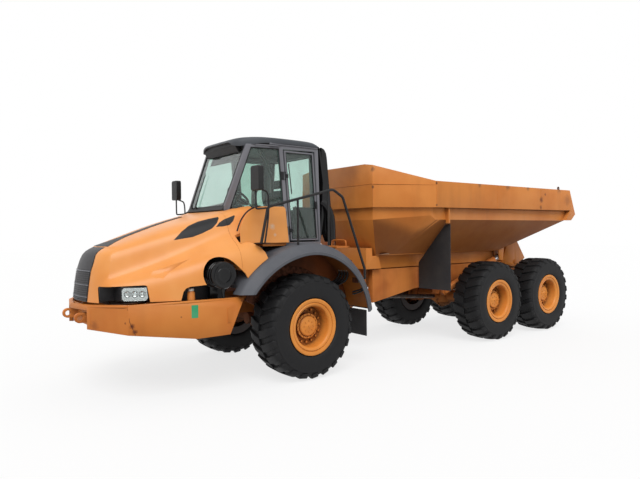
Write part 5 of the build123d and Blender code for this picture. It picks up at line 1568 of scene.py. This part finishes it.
        hinges.finish("door_hinge_plates", self.body, Finish.TRIM, 0.0015, 35)

    def inside(self) -> None:
        """Dashboard, steering wheel, levers, consoles, pedals, the lower rear wall and the grab strut."""
        softened("cab_controls", self.body, Finish.TRIM, 0.006, True)
        form = Form()
        centre = Vector((0, -2.64, 2.72))
        axis = Vector((0, 210, 280)).normalized()
        form.lathe([(0.013 + 0.0165 * math.cos(turn), 0.2 + 0.0165 * math.sin(turn))
                    for turn in (math.tau * step / 10 for step in range(10))], centre, axis, 48, start=ACROSS)
        form.ball(centre + axis * 0.022, (0.05, 0.045, 0.03), 10)
        form.block((0.3, 0.54), (-2.3, -1.76), (1.912, 2.33))
        form.block((-0.54, -0.3), (-2.3, -1.76), (1.912, 2.33))
        form.rod((0.42, -2.24, 2.33), (0.43, -2.27, 2.5), 0.011, 12)
        form.ball((0.43, -2.272, 2.515), (0.024, 0.024, 0.032), 10)
        form.rod((-0.42, -2.24, 2.33), (-0.425, -2.27, 2.47), 0.011, 12)
        form.ball((-0.425, -2.272, 2.485), (0.028, 0.028, 0.028), 10)
        form.block((-0.698, 0.698), (-1.622, -1.6), (1.912, 2.5))
        form.block((0.4, 0.66), (-3.0, -2.88), (2.482, 2.56))
        form.block((-0.3, 0.3), (-2.985, -2.9), (2.482, 2.59))
        for x in (-0.19, -0.05, 0.16):
            form.block((x - 0.045, x + 0.045), (-2.8, -2.775), (1.935, 2.08))
        form.tapered().finish("cab_console", self.body, Finish.TRIM, 0.008, 32)
        strut = Form()
        for shift in (0, 0.055):
            strut.rod((0.69, -2.66 + shift, 3.42), (0.69, -2.43 + shift, 3.03), 0.013, 12)
        strut.rod((0.69, -2.405, 3.03), (0.69, -2.398, 2.66), 0.014, 12)
        strut.ball((0.69, -2.4, 3.02), (0.02, 0.034, 0.034), 10)
        strut.rod((0.69, -2.36, 2.64), (0.702, -2.36, 2.64), 0.06, 20)
        strut.tapered().finish("cab_grab_strut", self.body, Finish.TRIM, 0, 40)

    def seat(self) -> None:
        """The sprung driver's seat with its two padded cushions and head pad."""
        base = Form()
        base.block((-0.2, 0.2), (-2.18, -1.9), (1.912, 2.1))
        for step in range(4):
            base.block((-0.215, 0.215), (-2.195, -1.885), (2.105 + 0.038 * step, 2.128 + 0.038 * step))
        base.block((-0.245, 0.245), (-2.31, -1.87), (2.256, 2.282))
        base.finish("seat_base", self.body, Finish.TRIM, 0.005, 30, ("cab_seat",))
        for name, half, y, z, lean in (("seat_cushion", 0.25, (-2.328, -1.905), (2.284, 2.4), 0),
                                       ("seat_back_cushion", 0.24, (-1.96, -1.86), (2.405, 2.86), 11),
                                       ("seat_head_pad", 0.13, (-1.895, -1.815), (2.88, 3.022), 9)):
            pad = self.cushion((-half, half), y, z, lean)
            pad.finish(name, self.body, Finish.SEAT, 0, 60)

    @staticmethod
    def cushion(x: Point, y: Point, z: Point, lean: float) -> Form:
        """A crowned pad whose sides pull in between its corners, with a sewn channel each way.

        Args:
            x: Its lowest and highest place on X.
            y: The same on Y.
            z: The same on Z.
            lean: How far it leans back, in degrees.

        Returns:
            The pad.
        """
        form = Form()
        form.block(x, y, z)
        bmesh.ops.subdivide_edges(form.mesh, edges=list(form.mesh.edges), cuts=9, use_grid_fill=True)
        middle = Vector(((x[0] + x[1]) / 2, (y[0] + y[1]) / 2, (z[0] + z[1]) / 2))
        half = Vector(((x[1] - x[0]) / 2, (y[1] - y[0]) / 2, (z[1] - z[0]) / 2))
        for vert in form.mesh.verts:
            place = Vector([(vert.co[i] - middle[i]) / half[i] for i in range(3)])
            pull = [1 + 0.07 * (1 - place[(i + 1) % 3] ** 2) * (1 - place[(i + 2) % 3] ** 2)
                    for i in range(3)]
            edge = sorted(abs(value) for value in place)[1]
            pinch = 1 - 0.1 * edge ** 6
            seam = 0.012 * math.exp(-((abs(place.x) - 0.62) / 0.05) ** 2)
            for i in range(3):
                vert.co[i] = middle[i] + (place[i] * half[i]) * pull[i] * pinch * 0.93
            vert.co.y += seam * (1 if place.y < 0 else 0) * (1 if half.y < half.z else 0)
            vert.co.z -= seam * (1 if place.z > 0 else 0) * (1 if half.y >= half.z else 0)
        form.smoothed(1)
        form.tilt(list(form.mesh.verts), -lean, ACROSS, (middle.x, middle.y, z[0]))
        return form

    def outside(self) -> None:
        """Wipers, the plate under the windshield, roof grab bars, rear duct and hose, and work lamps."""
        low, along, out = self.slope
        arms = Form()
        for x, reach in ((-0.56, 0.62), (-0.38, 0.5)):
            foot = low + ACROSS * x + along * 0.03 + out * 0.012
            arms.rod(foot, foot + out * 0.014, 0.02, 14)
            arms.rod(foot + out * 0.012, foot + along * reach * 0.62 + out * 0.016 - ACROSS * 0.05, 0.007, 8)
            blade = foot + along * reach * 0.55 - ACROSS * 0.045 + out * 0.01
            arms.rod(blade - along * 0.28, blade + along * 0.3, 0.006, 8)
        arms.tapered().finish("windshield_wipers", self.body, Finish.TRIM, 0, 40)
        scuttle = Form()
        scuttle.slab([(-3.285, 2.49), (-3.235, 2.56), (-3.215, 2.552), (-3.24, 2.47)], 0, -0.745, 0.745)
        scuttle.tapered().finish("windshield_scuttle", self.body, Finish.TRIM, 0.004, 30)
        bars = Form()
        bars.pipe([(0.7, -2.7, 3.462), (0.735, -2.7, 3.462), (0.752, -2.665, 3.462), (0.768, -2.36, 3.462),
                   (0.764, -2.325, 3.462), (0.748, -2.325, 3.462)], 0.0085, 10)
        bars.both_sides().finish("roof_grab_bars", self.body, Finish.CHARCOAL, 0, 40)
        riser, hose = Form(), Form()
        outside = [(-1.53, 1.985), (-1.33, 1.985), (-1.29, 2.02), (-1.285, 2.2), (-1.3, 2.5), (-1.345, 2.95),
                   (-1.385, 3.36), (-1.4, 3.43), (-1.44, 3.49), (-1.5, 3.515), (-1.545, 3.52)]
        inside = [(-1.545, 3.44), (-1.505, 3.43), (-1.49, 3.34), (-1.47, 2.95), (-1.44, 2.5), (-1.42, 2.2),
                  (-1.43, 2.1), (-1.53, 2.09)]
        riser.slab(outside + inside, 0, 0.6, 0.752)
        riser.finish("cab_riser_duct", self.body, Finish.GLOSS, 0.022, 30)
        hose.pipe([(0.7, -1.47, 2.63), (0.75, -1.41, 2.58), (0.792, -1.345, 2.42), (0.792, -1.332, 2.2),
                   (0.792, -1.332, 2.0), (0.792, -1.34, 1.88)], 0.066, 20)
        hose.finish("cab_rear_hose", self.body, Finish.GLOSS, 0, 40)
        lamps, lenses = Form(), Form()
        for x in (-0.42, 0.42):
            lamps.block((x - 0.075, x + 0.075), (-1.53, -1.48), (3.38, 3.465))
            lenses.block((x - 0.062, x + 0.062), (-1.482, -1.474), (3.392, 3.453))
        lamps.finish("work_lamp_housings", self.body, Finish.TRIM, 0.004, 30)
        lenses.finish("work_lamp_lenses", self.body, Finish.LENS, 0.002, 30)


# ---------------------------------------------------------------- outside fittings
@dataclass
class Fittings:
    """Mirrors, handrails, exhaust, rear decks and hoses on the front frame."""

    body: str = "front_frame"
    rail_x: float = 1.35

    def build(self) -> None:
        """Build every fitting."""
        softened("handrails", self.body, Finish.TRIM, 0.0)
        softened("exhaust_stack", self.body, Finish.RUSTY, 0.003)
        self.mirrors()
        self.exhaust_shield()
        self.deck()
        self.hoses()

    def mirrors(self) -> None:
        """The mirror heads on their twin posts."""
        posts, heads, faces = Form(), Form(), Form()
        x = self.rail_x
        posts.pipe([(x - 0.02, -3.085, 2.76), (x - 0.02, -3.085, 2.5), (x - 0.02, -3.075, 2.475),
                    (x - 0.01, -3.0, 2.48), (x, -2.93, 2.49)], 0.012, 12)
        posts.pipe([(x + 0.05, -3.03, 2.74), (x + 0.045, -2.96, 2.72), (x + 0.025, -2.915, 2.69),
                    (x + 0.022, -2.905, 2.46), (x + 0.024, -2.93, 2.25), (x + 0.024, -2.975, 2.008)], 0.012,
                   12)
        posts.block((1.29, 1.4), (-3.04, -2.9), (2.0, 2.012))
        outline = [(1.264, 2.727), (1.436, 2.727), (1.452, 2.733), (1.46, 2.752), (1.46, 3.03),
                   (1.452, 3.052), (1.432, 3.063), (1.268, 3.063), (1.248, 3.052), (1.24, 3.03),
                   (1.24, 2.752), (1.248, 2.733)]
        heads.slab(outline, 1, -3.115, -3.03)
        faces.slab([(1.35 + (px - 1.35) * 0.9, 2.895 + (pz - 2.895) * 0.93) for px, pz in outline], 1,
                   -3.0305, -3.0275)
        heads.both_sides().finish("mirror_heads", self.body, Finish.TRIM, 0.01, 28, ("mirrors",))
        faces.both_sides().finish("mirror_faces", self.body, Finish.MIRROR, 0.001, 40)
        posts.both_sides().finish("mirror_posts", self.body, Finish.TRIM, 0, 40)

    def exhaust_shield(self) -> None:
        """The heat shield round the silencer, with its rows of raised studs."""
        form = Form()
        form.lathe([(0, 0.109), (0.42, 0.109), (0.42, 0.113), (0, 0.113)], (-1.01, -1.68, 1.96), UP, 40,
                   start=ACROSS)
        for row in range(5):
            for turn in range(16):
                spoke = Matrix.Rotation(math.tau * (turn + 0.5 * (row % 2)) / 16, 3, "Z") @ ACROSS
                foot = Vector((-1.01, -1.68, 2.02 + 0.075 * row))
                form.rod(foot + spoke * 0.1125, foot + spoke * 0.115, 0.013, 8)
        form.finish("exhaust_heat_shield", self.body, Finish.STEEL, 0, 40)

    def deck(self) -> None:
        """The small decks behind the cab with their grab loops."""
        deck, loops = Form(), Form()
        deck.slab([(0.79, -1.64), (1.29, -1.64), (1.29, -1.42), (1.2, -1.3), (0.79, -1.3)], 2, 1.905, 1.925)
        deck.block((0.79, 0.815), (-1.64, -1.32), (1.84, 1.905))
        for row in range(6):
            deck.block((0.84, 1.24), (-1.6 + 0.045 * row, -1.588 + 0.045 * row), (1.925, 1.93))
        deck.both_sides().finish("rear_decks", self.body, Finish.FRAME, 0.003, 30)
        for y, x_low, x_high in ((-1.4, 0.88, 1.23), (-1.34, 0.85, 1.15)):
            loops.pipe([(x_low, y, 1.92), (x_low, y, 2.0), (x_low + 0.03, y - 0.002, 2.02),
                        (x_high - 0.03, y, 2.02), (x_high, y, 2.0), (x_high, y, 1.92)], 0.01, 10)
        loops.both_sides().finish("deck_grab_loops", self.body, Finish.FRAME, 0, 40)

    def hoses(self) -> None:
        """Hydraulic hoses, blocks and caps behind the fender and over the hitch."""
        hoses, blocks, caps, ends = Form(), Form(), Form(), Form()
        blocks.block((0.86, 1.18), (-1.29, -1.235), (1.56, 1.7))
        blocks.block((1.14, 1.26), (-1.2, -1.12), (1.34, 1.44))
        for step, x in enumerate((0.9, 0.965, 1.03, 1.095)):
            hoses.pipe([(x, -1.262, 1.565), (x, -1.25, 1.46 - 0.02 * step), (x - 0.05, -1.33, 1.34),
                        (0.7, -1.5, 1.25 - 0.03 * step), (0.42, -1.62, 1.18 - 0.04 * step)], 0.018, 10)
            ends.rod((x, -1.262, 1.52), (x, -1.262, 1.562), 0.025, 6)
            caps.rod((x, -1.262, 1.7), (x, -1.262, 1.735), 0.02, 14)
        for step, z in enumerate((1.36, 1.395)):
            hoses.pipe([(1.255, -1.16, z), (1.33, -1.14, z + 0.01), (1.37, -1.12, z - 0.06),
                        (1.33, -1.15, z - 0.16), (1.18, -1.23, z - 0.2)], 0.014, 10)
            ends.rod((1.245, -1.16, z), (1.29, -1.155, z), 0.02, 6)
        caps.rod((1.2, -1.16, 1.44), (1.2, -1.16, 1.485), 0.028, 16)
        hoses.both_sides().finish("frame_hoses", self.body, Finish.TRIM, 0, 40)
        blocks.both_sides().finish("valve_blocks", self.body, Finish.RUSTY, 0.004, 30)
        caps.both_sides().finish("filler_caps", self.body, Finish.YELLOW, 0.002, 30)
        ends.both_sides().finish("hose_ends", self.body, Finish.STEEL, 0.001, 30)


# ---------------------------------------------------------------- articulation and rear frame
@dataclass
class Running:
    """Hitch, steering cylinders, rear frame, axles, bogies and tip cylinders."""

    def build(self) -> None:
        """Dress the running gear."""
        softened("hitch", "hitch", Finish.CHASSIS, 0.004)
        self.chassis()
        for node, finish, bevel in (("middle_axle", Finish.CHASSIS, 0.004),
                                    ("rear_axle", Finish.CHASSIS, 0.004),
                                    ("bogie_beams", Finish.CHASSIS, 0.008),
                                    ("drive_shafts", Finish.CAST, 0.002)):
            softened(node, "rear_frame", finish, bevel)
        softened("tip_barrels", "tip_barrels", Finish.CHASSIS, 0.002)
        softened("tip_rods", "tip_rods", Finish.CHROME, 0.0)
        for hand in ("left", "right"):
            softened(f"steering_barrel_{hand}", f"steering_barrel_{hand}", Finish.CHASSIS, 0.002)
            softened(f"steering_rod_{hand}", f"steering_rod_{hand}", Finish.CHROME, 0.0)
        self.details()

    @staticmethod
    def chassis() -> None:
        """The rear chassis, with its tip pin thinner, so that its flats clear the hole."""
        form = node_form("rear_chassis")
        for vert in form.mesh.verts:
            arm = Vector((0, vert.co.y - TIP_HINGE_Y, vert.co.z - TIP_HINGE_Z))
            if arm.length < TIP_PIN_REACH:
                vert.co -= arm * TIP_PIN_EASE
        form.finish("rear_chassis_shell", "rear_frame", Finish.CHASSIS, 0.004, SMOOTH_SHELL,
                    ("rear_chassis",), turn_out=False)

    def details(self) -> None:
        """Ribs, bolts and brake lines of the rear axles, and the caps of the bogie pivots."""
        ribs, bolts, lines = Form(), Form(), Form()
        for axle_y in (MIDDLE_AXLE_Y, REAR_AXLE_Y):
            ribs.lathe([(-0.012, 0.226), (-0.012, 0.246), (0.012, 0.246), (0.012, 0.226)],
                       (0, axle_y, AXLE_Z), ACROSS, 40)
            bolts.bolts((0.012, axle_y, AXLE_Z), ACROSS, 0.238, 16, 0.009, 0.01)
            for hand in (1, -1):
                bolts.bolts((hand * 0.85, axle_y, AXLE_Z), ACROSS * hand, 0.155, 12, 0.012, 0.012)
                lines.pipe([(hand * 0.2, axle_y - 0.1, 0.96), (hand * 0.35, axle_y - 0.12, 0.93),
                            (hand * 0.6, axle_y - 0.11, 0.905), (hand * 0.8, axle_y - 0.09, 0.93)], 0.01, 8)
        for hand in (1, -1):
            bolts.bolts((hand * 0.75, 3.255, 0.785), ACROSS * hand, 0.0, 1, 0.06, 0.018, 20)
            bolts.bolts((hand * 0.768, 3.255, 0.785), ACROSS * hand, 0.038, 6, 0.009, 0.008)
        ribs.finish("axle_housing_ribs", "rear_frame", Finish.CHASSIS, 0.002, 30)
        bolts.finish("axle_bolts", "rear_frame", Finish.RUSTY, 0, 40)
        lines.finish("brake_lines", "rear_frame", Finish.STEEL, 0, 40)


# ---------------------------------------------------------------- dump body
@dataclass
class DumpBody:
    """The tipping body with its rails, welds, scuffs and flaps."""

    body: str = "dump_body"

    def build(self) -> None:
        """Dress the plates and add their welds and fittings."""
        for node, finish, bevel in (("dump_floor", Finish.BODY, 0.004), ("dump_sides", Finish.BODY, 0.006),
                                    ("headboard", Finish.BODY, 0.005), ("dump_flaps", Finish.FLAP, 0.002)):
            softened(node, self.body, finish, bevel)
        self.welds()
        self.fittings()
        self.liner()

    def welds(self) -> None:
        """Weld beads at the rail joints and seams."""
        form = Form()
        outside = 1.4512
        for y in (2.25, 3.78):
            form.rod((outside - 0.002, y, 2.565), (outside - 0.002, y, 3.016), 0.0045, 8)
        form.pipe([(1.449, 0.492, 2.562), (1.452, 0.494, 2.8), (1.449, 0.49, 3.018)], 0.006, 8)
        form.pipe([(1.001, -0.606, 2.562), (1.004, -0.607, 2.75), (1.001, -0.606, 2.948)], 0.006, 8)
        form.pipe([(1.006, -0.602, 2.951), (1.2, -0.12, 2.951), (1.44, 0.47, 2.953)], 0.006, 8)
        form.pipe([(-0.99, -0.607, 2.951), (0, -0.607, 2.951), (0.99, -0.607, 2.951)], 0.003, 8)
        form.pipe([(1.3515, 0.5, 2.556), (1.3515, 2.0, 2.556), (1.3515, 4.85, 2.556)], 0.006, 8)
        form.both_sides().finish("body_weld_beads", self.body, Finish.BODY, 0, 60)

    def fittings(self) -> None:
        """The lifting eyes on the rails and the bolts that hold the flaps."""
        form, hangers = Form(), Form()
        form.rod((1.4, 4.56, 3.018), (1.4, 4.56, 3.028), 0.03, 16)
        form.lathe([(-0.01, 0.022), (-0.01, 0.034), (0.01, 0.034), (0.01, 0.022)], (1.4, 4.56, 3.056), ACROSS,
                   24)
        form.both_sides().finish("rail_lifting_eyes", self.body, Finish.RUSTY, 0.001, 40)
        for x in (0.75, 0.95, 1.15, 1.33):
            z = 1.52 + (x - 0.645) * (2.27 - 1.56) / (1.29 - 0.645)
            hangers.rod((x, 0.903, z - 0.03), (x, 0.915, z - 0.03), 0.016, 8)
            hangers.rod((x, 0.925, z - 0.03), (x, 0.937, z - 0.03), 0.016, 8)
        hangers.both_sides().finish("flap_bolts", self.body, Finish.RUSTY, 0.001, 40)

    def liner(self) -> None:
        """The worn wearing plate over the floor and the ramp."""
        form = Form()
        form.slab([(-0.2, 1.7405), (3.21, 1.7405), (4.78, 2.3515), (4.776, 2.3565), (3.209, 1.7465),
                   (-0.2, 1.7465)], 0, -0.785, 0.785)
        form.finish("floor_wear_plate", self.body, Finish.LOAD, 0.001, 30)


# ---------------------------------------------------------------- studio
@dataclass
class Studio:
    """A plain pale floor, soft light and the camera."""

    eye: tuple[float, float, float] = (7.855, -7.024, 2.158)
    angles: tuple[float, float, float] = (89.182, 0.548, 52.336)
    lens: float = 31.27
    sky: float = 0.68
    sun: float = 1.75

    def camera(self) -> None:
        """Place the camera."""
        data = bpy.data.cameras.new("camera")
        data.lens = self.lens
        data.sensor_width = 36
        data.clip_end = 400
        made = bpy.data.objects.new("camera", data)
        made.location = self.eye
        made.rotation_euler = [math.radians(angle) for angle in self.angles]
        bpy.context.scene.collection.objects.link(made)
        bpy.context.scene.camera = made

    @staticmethod
    def seen_directly(graph: Graph) -> Signal:
        """1 for rays that come from the camera, a reflection or through glass."""
        path = {name: graph.node("ShaderNodeLightPath", out=name)
                for name in ("Is Camera Ray", "Is Glossy Ray", "Is Transmission Ray")}
        return (path["Is Camera Ray"] + path["Is Glossy Ray"] + path["Is Transmission Ray"]).clipped()

    def light(self) -> None:
        """A pale sky, and one large soft lamp high at the front left."""
        world = bpy.data.worlds.new("studio")
        bpy.context.scene.world = world
        graph = Graph(world, "ShaderNodeOutputWorld")
        seen = self.seen_directly(graph)
        sky = graph.node("ShaderNodeBackground", None, {"Color": (1, 1, 1, 1), "Strength": self.sky})
        white = graph.node("ShaderNodeBackground", None, {"Color": (1, 1, 1, 1), "Strength": 1.0})
        graph.close(graph.node("ShaderNodeMixShader", None, {0: seen, 1: sky, 2: white}))
        lamp = bpy.data.lights.new("soft_sun", "SUN")
        lamp.energy = self.sun
        lamp.angle = math.radians(35)
        made = bpy.data.objects.new("soft_sun", lamp)
        made.rotation_euler = Vector((-0.56, 0.38, -0.74)).to_track_quat("-Z", "Y").to_euler()
        bpy.context.scene.collection.objects.link(made)

    def floor(self) -> None:
        """A wide floor that stays pale and keeps the truck's shadow."""
        form = Form()
        form.slab([(-70, -70), (70, -70), (70, 70), (-70, 70)], 2, -0.02, -0.001)
        made = form.as_object("studio_floor")
        graph = Graph.of_material("studio_floor")
        dull = graph.node("ShaderNodeBsdfDiffuse", None, {"Color": (0.3, 0.3, 0.3, 1)})
        bright = graph.node("ShaderNodeBsdfDiffuse", None, {"Color": (0.9, 0.9, 0.9, 1)})
        glow = graph.node("ShaderNodeEmission", None, {"Color": (1, 1, 1, 1), "Strength": 1.0})
        seen = graph.node("ShaderNodeMixShader", None, {0: 0.75, 1: bright, 2: glow})
        both = graph.node("ShaderNodeMixShader", None, {0: self.seen_directly(graph), 1: dull, 2: seen})
        made.data.materials.append(graph.close(both))

    def build(self) -> None:
        """Set the studio up."""
        self.light()
        self.floor()


def main() -> None:
    """Load the frame and build the truck over it."""
    logging.basicConfig(level=logging.INFO, format="%(message)s")
    FRAME.update(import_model())
    bpy.context.scene.view_settings.view_transform = "Standard"
    studio = Studio()
    studio.camera()
    studio.build()
    for place, axle_y in (("front", FRONT_AXLE_Y), ("middle", MIDDLE_AXLE_Y), ("rear", REAR_AXLE_Y)):
        for hand in ("left", "right"):
            Wheel(place, hand, axle_y).build()
    for assembly in (Bonnet(), FrontEnd(), Cab(), Fittings(), Running(), DumpBody()):
        assembly.build()


if __name__ == "__main__":
    main()
